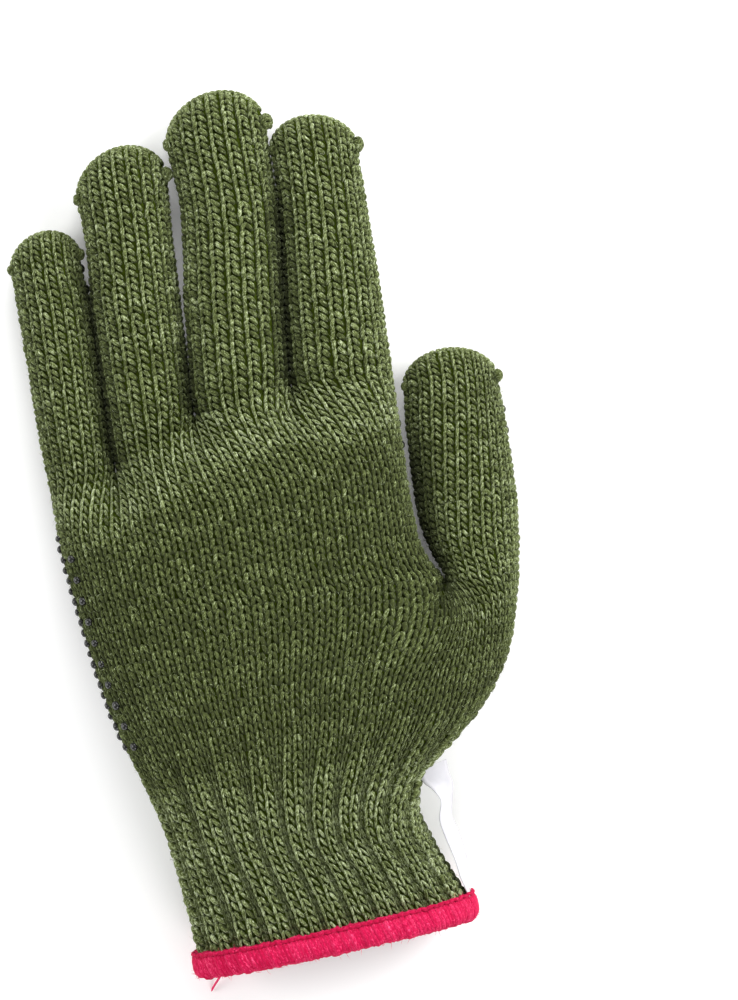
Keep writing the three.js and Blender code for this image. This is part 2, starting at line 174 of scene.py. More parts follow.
# %% Fingers above their crotches
FINGERS = ("little", "ring", "middle", "index", "thumb")
TUBE_COLUMNS = ("v", "left", "right", "top", "under")
TUBES = {
    "little": table(TUBE_COLUMNS, [
        (88, -67.0, -46.3, 16.5, -2.2),
        (80, -66.8, -46.2, 17.6, -2.2),
        (60, -66.3, -45.6, 19.4, -2.2),
        (40, -65.9, -45.4, 20.4, -0.6),
        (28, -65.6, -45.3, 19.8, 0.6),
        (21, -65.1, -45.3, 20.4, 1.4),
    ]),
    "ring": table(TUBE_COLUMNS, [
        (108, -46.0, -17.5, 17.6, -2.2),
        (100, -44.9, -18.0, 18.8, -2.2),
        (90, -44.2, -18.6, 19.8, -2.2),
        (65, -44.4, -19.3, 22.0, -1.6),
        (50, -44.5, -19.8, 23.2, 0.2),
        (38, -44.5, -20.2, 23.6, 1.8),
        (28, -44.7, -20.3, 22.8, 2.8),
        (21, -44.7, -20.4, 23.4, 3.2),
    ]),
    "middle": table(TUBE_COLUMNS, [
        (118, -17.2, 12.8, 18.0, -2.2),
        (108, -16.4, 12.8, 19.4, -2.2),
        (95, -15.4, 12.8, 21.0, -2.2),
        (80, -16.6, 12.0, 22.2, -1.6),
        (65, -18.4, 10.4, 23.8, 0.0),
        (50, -19.2, 9.4, 25.2, 1.8),
        (38, -19.6, 8.7, 26.2, 3.2),
        (33, -19.7, 8.7, 26.6, 3.6),
    ]),
    "index": table(TUBE_COLUMNS, [
        (108, 12.9, 38.4, 18.0, -2.2),
        (101, 13.0, 38.2, 19.2, -2.2),
        (90, 13.2, 38.4, 20.6, -2.2),
        (80, 12.7, 38.5, 21.8, -2.0),
        (65, 11.4, 38.7, 23.6, 0.0),
        (50, 10.2, 38.6, 25.4, 1.6),
        (38, 9.3, 38.5, 26.6, 2.8),
    ]),
    "thumb": table(TUBE_COLUMNS, [
        (34, 41.2, 68.6, 20.0, -2.2),
        (20, 40.0, 69.2, 22.2, -2.2),
        (0, 39.5, 69.1, 24.4, -2.2),
        (-10, 40.3, 68.3, 25.4, -2.2),
        (-18, 42.6, 67.3, 26.2, -2.2),
        (-24, 45.2, 66.4, 27.0, -2.2),
    ]),
}
print("finger tables:", list(TUBES))

# %% Fingertips, crotches and knitting
TIPS = {  # height of the two ends of the closing seam, and how far the tip domes beyond them
    "little": (82.5, 84.5, 9.4),
    "ring": (99.5, 103.5, 12.4),
    "middle": (111.5, 114.5, 12.8),
    "index": (106.0, 104.0, 10.0),
    "thumb": (32.0, 31.5, 10.3),
}
THUMB_CROTCH, CUFF_TOP, HEM_TOP = -24.0, -78.0, -118.8
CROTCHES = {
    "little": (21, 21),
    "ring": (21, 33),
    "middle": (33, 38),
    "index": (38, 38),
    "thumb": (THUMB_CROTCH, THUMB_CROTCH),
}
WALES = {"little": 9, "ring": 9, "middle": 9, "index": 9, "thumb": 12}  # columns of stitches on a face
FIRST_WALE = {"little": 0, "ring": 9, "middle": 18, "index": 27, "thumb": 36}
FOUR_WALES, ALL_WALES = 36, 48  # across one face of the hand, above and below the thumb's crotch
FINGER_COURSE = 2.1  # height of a row of stitches on the fingers
COURSE = curve_through([-119, -95, -78, -50, -24, 5, 38], [2.75, 2.62, 2.5, 2.42, 2.31, 2.15, 2.1])
HEM_LEAN = 0.068  # how much the hem climbs towards the thumb's side, for each mm across
LEAN_STARTS, LEAN_REACH, LEAN_PIVOT = -64.0, 50.0, -1.5  # where that lean comes in, and its still point
MIDDLE_OF_OUTLINE = np.array([1.16, -0.79, 0.0])  # comes to lie over the frame's origin
print("wales round the cuff:", 2 * ALL_WALES)

# %% Hand and cuff below the crotches
EDGE_NAMES = ("outer", "little", "ring", "middle", "index", "thumb")
HAND_EDGES = table(("v",) + EDGE_NAMES, [
    (38, -65.8, -45.0, -20.0, 9.0, 38.5, 69),
    (20, -65.1, -45.0, -20.0, 9.0, 38.4, 69),
    (5, -64.0, -44.6, -19.6, 9.2, 38.3, 69),
    (-10, -62.4, -43.6, -19.0, 9.6, 38.9, 68.3),
    (-18, -61.3, -43.0, -18.6, 9.8, 41.2, 67.3),
    (-24, -60.5, -42.6, -18.4, 9.8, 44.6, 66.4),
    (-34, -59.0, -42.0, -18.0, 10.0, 40.0, 64.2),
    (-46, -57.0, -41.6, -18.0, 9.6, 34.0, 60.4),
    (-56, -54.4, -41.4, -18.4, 8.4, 30.0, 54.6),
    (-66, -51.4, -41.2, -19.6, 6.2, 26.4, 45.8),
    (-74, -48.8, -41.0, -21.2, 3.6, 23.4, 36.0),
    (-80, -47.0, -40.8, -22.4, 2.0, 21.0, 29.6),
    (-88, -45.4, -39.8, -21.8, 2.0, 21.4, 27.8),
    (-100, -43.7, -38.0, -19.6, 4.4, 24.0, 30.8),
    (-110, -42.6, -36.8, -17.8, 6.6, 27.2, 34.6),
    (-119, -41.8, -35.8, -16.4, 8.8, 30.2, 38.6),
])
UPPER_OVAL = table(("v", "top", "under", "power"), [
    (38, 32.5, 2.6, 2.5),
    (20, 34.6, 2.6, 2.5),
    (5, 35.4, 2.4, 2.5),
    (-15, 35.2, 1.6, 2.5),
    (-60, 35.0, 0.0, 2.5),
])
LOWER_OVAL = table(("v", "top", "under", "power"), [
    (-24, 35.2, -1.4, 2.5),
    (-45, 35.6, -2.4, 2.5),
    (-62, 36.4, -2.4, 2.4),
    (-78, 36.8, -2.0, 2.2),
    (-92, 37.0, -2.0, 2.15),
    (-119, 36.2, -2.2, 2.2),
])
WEB_FLARES = ((5.5, 8.0), (3.0, 20.0))  # widths taken up by the wales near the thumb's web, and their reach
WEB_WALES = 8
KNUCKLE_FADE, THUMB_FADE = 24.0, 26.0
KNUCKLE_PAD = (15.0, 7.0, 1.5)  # below the crotches, reach, height
KNUCKLE_CREASE = (1.0, 5.0, -1.6)
FLOOR_ROUNDING = 1.0
DOT_ROOM, BARE_ROOM = 0.95, 0.3  # how far the cloth stays off the floor on its dots, and where it has none
DOTS_END, DOTS_FADE = -66.0, 10.0
JOINING = 8.0  # the way over which neighbours grow together at a crotch
print("hand across its middle:", round(float(HAND_EDGES["thumb"](-46) - HAND_EDGES["outer"](-46)), 1), "mm")

# %% [markdown]
# ## The surface of the glove
# Each finger owns a strip of the hand below it. High up the strip is the finger's own oval tube. Below
# the crotch it melts, over a few centimetres, into the wide oval of the whole hand. `across` runs from -1
# at the strip's left edge to 1 at its right, and `v` is the height along the glove. Such a surface could
# be sculpted, but a formula can be asked for any point, which is what the stitches need later.

# %% Helpers for blending
def clamp01(x):
    return np.clip(x, 0.0, 1.0)


def smooth(x):
    return clamp01(x) ** 2 * (3 - 2 * clamp01(x))


def mix(a, b, u):
    return a + (b - a) * u


def swell(pad, below):
    place, reach, height = pad
    return height * np.exp(-(((below - place) / reach) ** 2))


def crotch_line(finger, across):
    left, right = CROTCHES[finger]
    return mix(left, right, (across + 1) / 2)


print("crotch line in the middle of the ring finger:", crotch_line("ring", 0.0))

# %% Lying on the floor
def settle(z, v):
    """Lifts what would lie under the floor, and leaves room for the dots under the palm."""
    room = mix(BARE_ROOM, DOT_ROOM, smooth((v - DOTS_END) / DOTS_FADE))
    z = z - room
    rounded = np.where(z <= -FLOOR_ROUNDING, 0.0, (z + FLOOR_ROUNDING) ** 2 / (4 * FLOOR_ROUNDING))
    return np.where(z >= FLOOR_ROUNDING, z, rounded) + room


print("lowest cloth on the dots:", float(settle(-5.0, 0.0)), "mm")

# %% Levels of the strips
def tube_level(finger, v):
    own = TUBES[finger]
    return (own["top"](v) + own["under"](v)) / 2


def shared_level(finger, across, v, below):
    """Middle height of the tube, drawn to its neighbour's where the two grow together."""
    order = FINGERS.index(finger)
    own = tube_level(finger, v)
    level = own
    for side in (-1, 1):
        if 0 <= order + side < len(FINGERS):
            neighbour = tube_level(FINGERS[order + side], v)
            near = smooth(side * across) * smooth((below + JOINING) / JOINING)
            joined = v <= THUMB_CROTCH + 6 if "thumb" in (finger, FINGERS[order + side]) else True
            level = level + near * joined * (neighbour - own) / 2
    return level


def web_drop(finger, across, v):
    """How far the edges of the hand and of the thumb are moved to meet in the valley between them."""
    if finger not in ("index", "thumb"):
        return 0.0
    hand = (UPPER_OVAL["top"](v) + UPPER_OVAL["under"](v)) / 2
    step = hand - (tube_level("index", v) + tube_level("thumb", v)) / 2
    side = -1 if finger == "index" else 1
    there = smooth((THUMB_CROTCH - v + JOINING) / JOINING)
    return side * step / 2 * smooth(-side * across) * there


print("level of the middle finger at its foot:", round(float(tube_level("middle", 38)), 1), "mm")

# %% [markdown]
# Filled-out fingers press against each other low down. So below a height of its own for each pair, the
# edges of two neighbours bulge until they meet in the middle of the gap that the solids leave there.

# %% Edges of the strips
TOUCHING = {"little": 84.0, "ring": 60.0, "middle": 103.0}  # height up to which a finger meets the next one
TOUCH_OVERLAP = 0.15  # how far the two press into each other, in mm
TOUCH_STARTS, TOUCH_FADES = 3.0, 18.0  # the ways over which they come together above the crotch and part


def bulge(finger, v):
    """How far a finger's right edge and its neighbour's left one bulge to meet."""
    if finger not in TOUCHING:
        return 0.0
    gap = TUBES[FINGERS[FINGERS.index(finger) + 1]]["left"](v) - TUBES[finger]["right"](v)
    there = smooth((v - CROTCHES[finger][1]) / TOUCH_STARTS) * smooth((TOUCHING[finger] - v) / TOUCH_FADES)
    return (np.maximum(gap / 2, 0) + TOUCH_OVERLAP) * there


def strip_edges(finger, v):
    order = FINGERS.index(finger)
    left_crotch, right_crotch = CROTCHES[finger]
    left = TUBES[finger]["left"](v) - (bulge(FINGERS[order - 1], v) if order else 0)
    left = np.where(v > left_crotch, left, HAND_EDGES[EDGE_NAMES[order]](v))
    right = TUBES[finger]["right"](v) + bulge(finger, v)
    right = np.where(v > right_crotch, right, HAND_EDGES[EDGE_NAMES[order + 1]](v))
    return left, right


print("edges of the ring finger at 30 mm:", [round(float(edge), 2) for edge in strip_edges("ring", 30.0)])

# %% The surface itself
def oval_height(half, left, right, x, power):
    across = np.minimum(1.0, np.abs((2 * x - left - right) / (right - left)))
    return half * (1 - across**power) ** (1 / power)


def surface(finger, face, across, v):
    """Points on the back (face 1) or the palm (face -1) of a finger's strip."""
    across, v = np.broadcast_arrays(np.asarray(across, float), np.asarray(v, float))
    left, right = strip_edges(finger, v)
    x = mix(left, right, (across + 1) / 2)
    below = crotch_line(finger, across) - v
    tube_half = (TUBES[finger]["top"](v) - TUBES[finger]["under"](v)) / 2
    square = tube_half**2 * np.maximum(0, 1 - across**2)
    level = shared_level(finger, across, v, below)
    outer = HAND_EDGES["outer"](v)
    if finger != "thumb":
        half = (UPPER_OVAL["top"](v) - UPPER_OVAL["under"](v)) / 2
        height = oval_height(half, outer, HAND_EDGES["index"](v), x, UPPER_OVAL["power"](v))
        share = smooth(below / KNUCKLE_FADE)
        square = mix(square, height**2, share)
        level = mix(level, (UPPER_OVAL["top"](v) + UPPER_OVAL["under"](v)) / 2, share)
    level = level + web_drop(finger, across, v)
    half = (LOWER_OVAL["top"](v) - LOWER_OVAL["under"](v)) / 2
    height = oval_height(half, outer, HAND_EDGES["thumb"](v), x, LOWER_OVAL["power"](v))
    share = smooth((THUMB_CROTCH - v) / THUMB_FADE)
    square = mix(square, height**2, share)
    level = mix(level, (LOWER_OVAL["top"](v) + LOWER_OVAL["under"](v)) / 2, share)
    z = level + face * np.sqrt(square)
    if face > 0 and finger != "thumb":
        knuckle = swell(KNUCKLE_PAD, below) + swell(KNUCKLE_CREASE, below)
        z = z + knuckle * clamp01(np.sqrt(square) / tube_half)
    y = v + HEM_LEAN * smooth((LEAN_STARTS - v) / LEAN_REACH) * (x - LEAN_PIVOT)
    return np.stack([x, y, settle(z, v)], -1)


print("knuckle at the ring finger:", surface("ring", 1, 0.0, 10.0).round(1))

# %% Domed fingertips
def tip_surface(finger, face, across, turn):
    """Points on the domed tip. turn is 0 at the dome's foot and 1 at the seam that closes it."""
    left_end, right_end, dome = TIPS[finger]
    foot = mix(left_end, right_end, (across + 1) / 2)
    own = TUBES[finger]
    half = (own["top"](foot) - own["under"](foot)) / 2
    chord = np.sqrt(np.maximum(0, 1 - across**2))
    angle = turn * math.pi / 2
    x = mix(own["left"](foot), own["right"](foot), (across + 1) / 2)
    y = foot + dome * chord * np.sin(angle)
    z = tube_level(finger, foot) + face * half * chord * np.cos(angle)
    return np.stack([x, y, settle(z, foot)], -1)


print("top of the middle finger:", tip_surface("middle", 1, 0.0, 1.0).round(1))

# %% [markdown]
# ## Wales and courses
# Knitters call a column of stitches a wale and a row of them a course. The wales of a finger are spread
# evenly round its tube, run down into the hand, and even out there with those of its neighbours, because
# cloth pulls itself even. For each finger and face this gives a lattice of points with half a wale
# between its columns. A second pass turns its rows into courses.

# %% Rows of the upper hand
SAMPLES = -np.cos(np.linspace(0, math.pi, 81))  # places across a strip, closer at its edges
EVENING = 30.0  # the way over which wales even out below a crotch
HAND_CROWDING = 0.4
SIDES = {1: "back", -1: "palm"}


def crowd(share, crowding):
    """Places of the wales along a row, from 0 to 1. They lie closer towards both edges."""
    t = 2 * share - 1
    return 0.5 + 0.5 * (t - crowding * t**3 / 3) / (1 - crowding / 3)


def arc_lengths(points):
    steps = np.linalg.norm(np.diff(points, axis=0), axis=1)
    return np.concatenate([[0.0], np.cumsum(steps)])


def measured_row(strips, face, height_at):
    """Points and heights along one row, their distances from its left edge, and where each strip starts."""
    points = [surface(f, face, SAMPLES, height_at(f, SAMPLES)) for f in strips]
    lengths = [arc_lengths(p) for p in points]
    starts = np.concatenate([[0.0], np.cumsum([a[-1] for a in lengths])])
    arcs = np.concatenate([a + s for a, s in zip(lengths, starts)])
    heights = np.concatenate([np.broadcast_to(height_at(f, SAMPLES), SAMPLES.shape) for f in strips])
    return np.concatenate(points), heights, arcs, starts


def upper_row(face, height_at):
    """A row of the upper hand: the places of its half wales, and their points and heights."""
    points, heights, arcs, starts = measured_row(FINGERS[:4], face, height_at)
    wale = np.arange(2 * FOUR_WALES + 1) / 2
    strip_wales = list(FIRST_WALE.values())
    own = np.interp(wale, strip_wales, starts)
    crotch = np.interp(wale, strip_wales, [CROTCHES[f][0] for f in FINGERS[:4]] + [CROTCHES["index"][1]])
    above = float(height_at("index", 1.0)) - THUMB_CROTCH
    web = sum(width * math.exp(-above / reach) for width, reach in WEB_FLARES)
    even = (starts[-1] - web) * crowd(wale / FOUR_WALES, HAND_CROWDING)
    even = even + web * smooth(1 - (FOUR_WALES - wale) / WEB_WALES)
    place = mix(own, even, smooth((crotch - np.interp(own, arcs, heights)) / EVENING))
    at = np.stack([np.interp(place, arcs, points[:, i]) for i in range(3)], -1)
    return place, at, np.interp(place, arcs, heights)


print("half wales across the four fingers:", 2 * FOUR_WALES + 1)

# %% [markdown]
# Below the crotch of the thumb the wales run nearly straight down, while the outline of the hand draws
# in. So the outermost ones pass round the thumb's side to the palm, and come back where the cuff gathers
# them into even ribs. Their places are a smooth curve through three heights. They are measured along
# the closed line round the hand with its ups and downs flattened, so that the valley under the crotch
# doesn't push the wales aside.

# %% Lines round the lower hand
FLATTEN = np.array([1.0, 1.0, 0.5])  # what is left of each direction


def level(height):
    return lambda finger, across: height + 0 * across


def round_line(height):
    """The closed line round the hand at a height, over the back and home along the palm."""
    back, palm = [measured_row(FINGERS, face, level(height)) for face in (1, -1)]
    points = np.concatenate([back[0], palm[0][::-1]])
    return {
        "points": points,
        "length": arc_lengths(points),
        "flat": arc_lengths(points * FLATTEN),
        "edge": len(back[0]) - 1,
        "thumb_from": {1: back[3][4], -1: palm[3][4]},
    }


def flattened(line, face, place):
    """A place at a true distance from the left edge, as a distance along the flattened line."""
    whole, flat_whole = line["length"][-1], line["flat"][-1]
    found = np.interp(place if face > 0 else whole - place, line["length"], line["flat"])
    return found if face > 0 else flat_whole - found


def half_length(line, face):
    to_edge = line["length"][line["edge"]]
    return to_edge if face > 0 else line["length"][-1] - to_edge


print("girth at the thumb's crotch:", round(float(round_line(THUMB_CROTCH)["length"][-1]), 1), "mm")

# %% [markdown]
# On the thumb, and a little on the first and the last finger, the wales don't run straight up: they lean
# to the right. So each half wale has a share of its finger's row, which changes along it.

# %% Lean of the wales along a finger
WALE_LEAN = {"thumb": 0.17, "index": 0.04, "little": 0.04}  # how far the wales lean right up the finger
LEAN_FROM = {"thumb": 0.4}  # share of the finger's length at which they pass their even places


def own_shares(finger, share):
    """Shares of a finger's row at which its half wales lie, at a share of its length."""
    even = np.linspace(0, 1, 2 * WALES[finger] + 1)
    lean = WALE_LEAN.get(finger, 0.0) * (share - LEAN_FROM.get(finger, 0.0))
    return even + 4 * lean * even * (1 - even)


print("middle wale of the thumb, at its foot and its tip:", [own_shares("thumb", s)[12] for s in (0, 1)])

# %% Places of the half wales
MID_FLOW, FLOW_END = -56.0, -97.0
SEEN_AT_MID, SEEN_IN_RIBS = 45.5, 44.5  # wales seen on the back, of the 48 that are there at the crotch
RIB_CROWDING = -0.45  # in the cuff the wales lie closer in the middle than at the edges
STRAIGHT_DOWN = 0.18  # drift from the left edge of a wale that runs straight down, for each mm of height
WEB_SLOPE = -0.15  # the most that a wale still drifts towards the thumb below the crotch
SLOPE_STEP = 3  # difference in height over which slopes are measured
STRAIGHTENED = 20  # half wales from the crotch over which the thumb's ones take up their own slopes
HALF_WALES = np.arange(2 * ALL_WALES + 1) / 2
SHARES = HALF_WALES / ALL_WALES
BOW = (-110.0, 24.0, 4.2)  # height, reach and size of the bow of the ribs towards the thumb's side


def cubic(a, b, slope_a, slope_b, span, u):
    """From a to b, with the given slopes at both ends."""
    rise = u * u * (3 - 2 * u)
    return mix(a, b, rise) + span * (slope_a * u * (1 - u) ** 2 - slope_b * u * u * (1 - u))


def even_places(line, face, seen, crowding=0.0):
    """Places of the half wales, even or crowded, the back's last ones lying round the thumb's side."""
    reach = half_length(line, 1) * ALL_WALES / seen
    whole = reach if face > 0 else line["length"][-1] - reach
    return flattened(line, face, whole * crowd(SHARES, crowding))


def rib_places(line, face):
    return even_places(line, face, SEEN_IN_RIBS, RIB_CROWDING)


def flat_upper(face, height):
    """Places of the upper hand's half wales along its flattened row."""
    points, _, arcs, _ = measured_row(FINGERS[:4], face, level(height))
    return np.interp(upper_row(face, level(height))[0], arcs, arc_lengths(points * FLATTEN))


print("last wale in the ribs:", round(float(rib_places(round_line(FLOW_END), 1)[-1]), 1), "mm from the edge")

# %% Rows of the lower hand
def flow_knots(face):
    """Places of the half wales at the crotch, at the middle height and in the ribs, and their slopes."""
    crotch, under = round_line(THUMB_CROTCH), round_line(THUMB_CROTCH - SLOPE_STEP)
    middle, ribs, below = [round_line(height) for height in (MID_FLOW, FLOW_END, FLOW_END - SLOPE_STEP)]
    top, above = flat_upper(face, THUMB_CROTCH), flat_upper(face, THUMB_CROTCH + SLOPE_STEP)
    edge = flattened(crotch, face, half_length(crotch, face))
    thumb = mix(crotch["thumb_from"][face], half_length(crotch, face), own_shares("thumb", 0.0))
    thumb = flattened(crotch, face, thumb)
    edge_slope = (edge - flattened(under, face, half_length(under, face))) / SLOPE_STEP
    top_slope = np.maximum((above - top) / SLOPE_STEP, WEB_SLOPE)
    column = np.arange(2 * WALES["thumb"] + 1)
    free_slope = mix(STRAIGHT_DOWN, edge_slope, column / column[-1])
    thumb_slope = mix(top_slope[-1], free_slope, smooth(column / STRAIGHTENED))
    first = np.concatenate([top, thumb[1:]])
    second = even_places(middle, face, SEEN_AT_MID)
    third = rib_places(ribs, face)
    first_slope = np.concatenate([top_slope, thumb_slope[1:]])
    second_slope = (first - third) / (THUMB_CROTCH - FLOW_END)
    third_slope = (third - rib_places(below, face)) / SLOPE_STEP
    return {"places": [first, second, third], "slopes": [first_slope, second_slope, third_slope]}


FLOW = {face: flow_knots(face) for face in SIDES}


def flow_places(line, face, height):
    """Places of the half wales of one face at a height, as distances along the flattened line."""
    middle, reach, size = BOW
    bow = (face > 0) * size * math.exp(-(((height - middle) / reach) ** 2)) * 4 * SHARES * (1 - SHARES)
    if height <= FLOW_END:
        return rib_places(line, face) + bow
    n = 0 if height > MID_FLOW else 1
    low, high = ((MID_FLOW, THUMB_CROTCH), (FLOW_END, MID_FLOW))[n]
    high_place, low_place = FLOW[face]["places"][n:n + 2]
    high_slope, low_slope = FLOW[face]["slopes"][n:n + 2]
    u = (height - low) / (high - low)
    return cubic(low_place, high_place, low_slope, high_slope, high - low, u) + bow


def lower_row(face, height):
    """The points of a row of the lower hand or the cuff, on the closed line round it."""
    line = round_line(height)
    whole = line["flat"][-1]
    place = flow_places(line, 1, height)
    if face < 0:
        last = place[-1]
        place = flow_places(line, -1, height)
        place = whole - place * (whole - last) / place[-1]
    place = np.mod(place, whole)
    return np.stack([np.interp(place, line["flat"], line["points"][:, i]) for i in range(3)], -1)


print("width of the row at the heel:", round(float(np.ptp(lower_row(1, MID_FLOW)[:, 0])), 1), "mm")

# %% Rows of the fingers
def finger_row(finger, face, share):
    """One row of a finger between its crotch line and the foot of its tip."""
    left_end, right_end, _ = TIPS[finger]

    def height_at(across):
        return mix(crotch_line(finger, across), mix(left_end, right_end, (across + 1) / 2), share)

    arcs = arc_lengths(surface(finger, face, SAMPLES, height_at(SAMPLES)))
    across = np.interp(own_shares(finger, share) * arcs[-1], arcs, SAMPLES)
    return surface(finger, face, across, height_at(across)), across


print("row of the thumb's foot:", finger_row("thumb", 1, 0.0)[0].shape)

# %% Counting the courses
HEIGHT_STEP = 0.25
HEIGHTS = np.arange(-130.0, 60.0, HEIGHT_STEP)
COUNTED = np.concatenate([[0.0], np.cumsum(HEIGHT_STEP / COURSE(HEIGHTS[1:]))])


def course_of(height):
    """Number of the course at a height in the hand or the cuff, counted up from the top of the cuff."""
    return np.interp(height, HEIGHTS, COUNTED) - np.interp(CUFF_TOP, HEIGHTS, COUNTED)


print("courses in the cuff:", round(-float(course_of(HEM_TOP)), 1))

# %% Lattices of points, one for each finger and face
ROW_STEP = 1.3
UPPER_STEPS, DOME_ROWS = 44, 12


def level_rows(low, high):
    return np.linspace(low, high, int(round((high - low) / ROW_STEP)) + 1)


def rising(share):
    """A row of the upper hand, at a share of the way from the thumb's crotch to the fingers' crotches."""
    return lambda finger, across: mix(THUMB_CROTCH, crotch_line(finger, across), share)


def own_columns(finger):
    return slice(2 * FIRST_WALE[finger], 2 * (FIRST_WALE[finger] + WALES[finger]) + 1)


def build_paths(face):
    """For each finger: points, and the course number of each, from the hem to the seam of the tip."""
    paths = {f: {"points": [], "course": []} for f in FINGERS}

    def keep(finger, points, course):
        paths[finger]["points"].append(points)
        paths[finger]["course"].append(course)

    levels = np.concatenate([level_rows(HEM_TOP, CUFF_TOP), level_rows(CUFF_TOP, THUMB_CROTCH)[1:]])
    for v in levels:
        at = lower_row(face, v)
        for finger in FINGERS:
            keep(finger, at[own_columns(finger)], np.full(2 * WALES[finger] + 1, course_of(v)))
    for share in np.linspace(0, 1, UPPER_STEPS + 1)[1:]:
        _, at, heights = upper_row(face, rising(share))
        for finger in FINGERS[:4]:
            keep(finger, at[own_columns(finger)], course_of(heights[own_columns(finger)]))
    for finger in FINGERS:
        rows = int((TIPS[finger][0] - CROTCHES[finger][0]) / ROW_STEP)
        course = paths[finger]["course"][-1]
        last = paths[finger]["points"][-1]
        for share in np.linspace(0, 1, rows + 1)[1:]:
            at, across = finger_row(finger, face, share)
            course = course + np.linalg.norm(at - last, axis=1) / FINGER_COURSE
            last = at
            keep(finger, at, course)
        paths[finger]["foot"] = len(paths[finger]["points"]) - 1
        for turn in np.linspace(0, 1, DOME_ROWS + 1)[1:]:
            at = tip_surface(finger, face, across, turn)
            course = course + np.linalg.norm(at - last, axis=1) / FINGER_COURSE
            last = at
            keep(finger, at, course)
    return {f: {k: np.array(w) for k, w in p.items()} for f, p in paths.items()}


PATHS = {face: build_paths(face) for face in SIDES}
for finger in FINGERS:
    print(finger, "lattice", PATHS[1][finger]["points"].shape[:2])

# %% [markdown]
# The direction that points out of the cloth comes from the lattice itself, as the cross product of its
# two directions. At the edge of a strip both sides have a say: the palm's half where the cloth turns the
# corner, and the next finger's where the two grow together.

# %% Normals
def unit(v):
    return v / np.maximum(np.linalg.norm(v, axis=-1, keepdims=True), 1e-9)


def outward(points, face):
    return unit(face * np.cross(np.gradient(points, axis=1), np.gradient(points, axis=0)))


LOWER_ROWS = len(level_rows(HEM_TOP, CUFF_TOP)) + len(level_rows(CUFF_TOP, THUMB_CROTCH)) - 1
UPPER_ROWS = LOWER_ROWS + UPPER_STEPS
for face in SIDES:
    for finger in FINGERS:
        PATHS[face][finger]["normal"] = outward(PATHS[face][finger]["points"], face)

for order, finger in enumerate(FINGERS):
    back, palm = PATHS[1][finger]["normal"], PATHS[-1][finger]["normal"]
    free_from = {-1: UPPER_ROWS, 1: UPPER_ROWS}
    if finger == "little":
        free_from[-1] = 0
    if finger == "index":
        free_from[1] = LOWER_ROWS
    if finger == "thumb":
        free_from = {-1: LOWER_ROWS, 1: 0}
    for side, edge in ((-1, 0), (1, -1)):
        rows = slice(free_from[side], None)
        back[rows, edge] = palm[rows, edge] = unit(back[rows, edge] + palm[rows, edge])
    for half in (back, palm):
        half[-1] = unit(back[-1] + palm[-1])
    if order:
        joined = slice(0, LOWER_ROWS if finger == "thumb" else UPPER_ROWS)
        for face in SIDES:
            mine, theirs = PATHS[face][finger]["normal"], PATHS[face][FINGERS[order - 1]]["normal"]
            shared = unit(mine[joined, 0] + theirs[joined, -1])
            mine[joined, 0] = theirs[joined, -1] = shared
print("rows of the hand:", LOWER_ROWS, "then", UPPER_ROWS - LOWER_ROWS)

# %% [markdown]
# Hardly any light comes into the valleys between the fingers and beside the thumb, where loose fibres
# from both sides fill the last of the gap. The render finds only a part of that shade, so the rest is
# painted: the lattice also says how open to the light each stitch is, and the materials darken the yarn
# by that as painted shade.

# %% Valleys between the fingers
VALLEYS = {  # painted shade at a finger's left and right edge: how dark, how many wales wide, and up to which height
    "little": ((0.0, 1.0, 0.0), (0.95, 3.0, 88.0)),
    "ring": ((0.85, 2.5, 88.0), (0.95, 3.0, 64.0)),
    "middle": ((0.7, 2.4, 64.0), (0.95, 3.0, 104.0)),
    "index": ((0.85, 2.5, 104.0), (0.0, 1.0, 0.0)),
    "thumb": ((0.95, 4.6, 26.0), (0.0, 1.0, 0.0)),
}
VALLEY_STARTS, VALLEY_FADES = 3, 9  # the courses over which a valley darkens above its crotch and ends


def height_to_course(height, crotch):
    """Number of the course at a height of a wale that leaves the hand at the crotch's height."""
    return course_of(np.minimum(height, crotch)) + np.maximum(height - crotch, 0) / FINGER_COURSE


print("valleys end at the courses:", [round(float(height_to_course(h, 21)), 1) for h in (64, 88, 104)])

# %% Lattices in wales and courses
COURSE_STEP = 0.5
LOWEST_COURSE = -15.5
INSIDE = 1.001  # keeps a place off the lattice's last column and row, which have no neighbour


class Lattice:
    """Cloth that can be asked for a point: so many wales across, courses up and millimetres out."""

    def __init__(self, points, normal, course, finger=None):
        self.finger = finger
        self.end = course[-1]
        rows = np.arange(LOWEST_COURSE, self.end.max() + 1, COURSE_STEP)
        both = np.concatenate([points, normal], -1)
        columns = [
            np.stack([np.interp(rows, course[:, n], both[:, n, i]) for i in range(6)], -1)
            for n in range(both.shape[1])
        ]
        self.grid = np.stack(columns, 1)
        self.wales = (both.shape[1] - 1) // 2

    def place(self, wale, course, out=0.0):
        column = np.clip(wale * 2, 0, self.grid.shape[1] - INSIDE)
        row = np.clip((course - LOWEST_COURSE) / COURSE_STEP, 0, self.grid.shape[0] - INSIDE)
        i, j = column.astype(int), row.astype(int)
        u, w = (column - i)[..., None], (row - j)[..., None]
        low = mix(self.grid[j, i], self.grid[j, i + 1], u)
        high = mix(self.grid[j + 1, i], self.grid[j + 1, i + 1], u)
        found = mix(low, high, w)
        return found[..., :3] + unit(found[..., 3:]) * np.asarray(out)[..., None]

    def open_to_light(self, wale, course):
        """Painted shade: 1 in the open, and less in the valleys between the fingers."""
        light = np.ones(wale.shape)
        if self.finger:
            for side, (dark, wide, highest) in enumerate(VALLEYS[self.finger]):
                away = wale if side == 0 else self.wales - wale
                crotch = CROTCHES[self.finger][side]
                there = smooth((course - course_of(crotch) + 1) / VALLEY_STARTS)
                there = there * smooth((height_to_course(highest, crotch) - course) / VALLEY_FADES)
                light = light - dark * smooth(1 - away / wide) * there
        return light


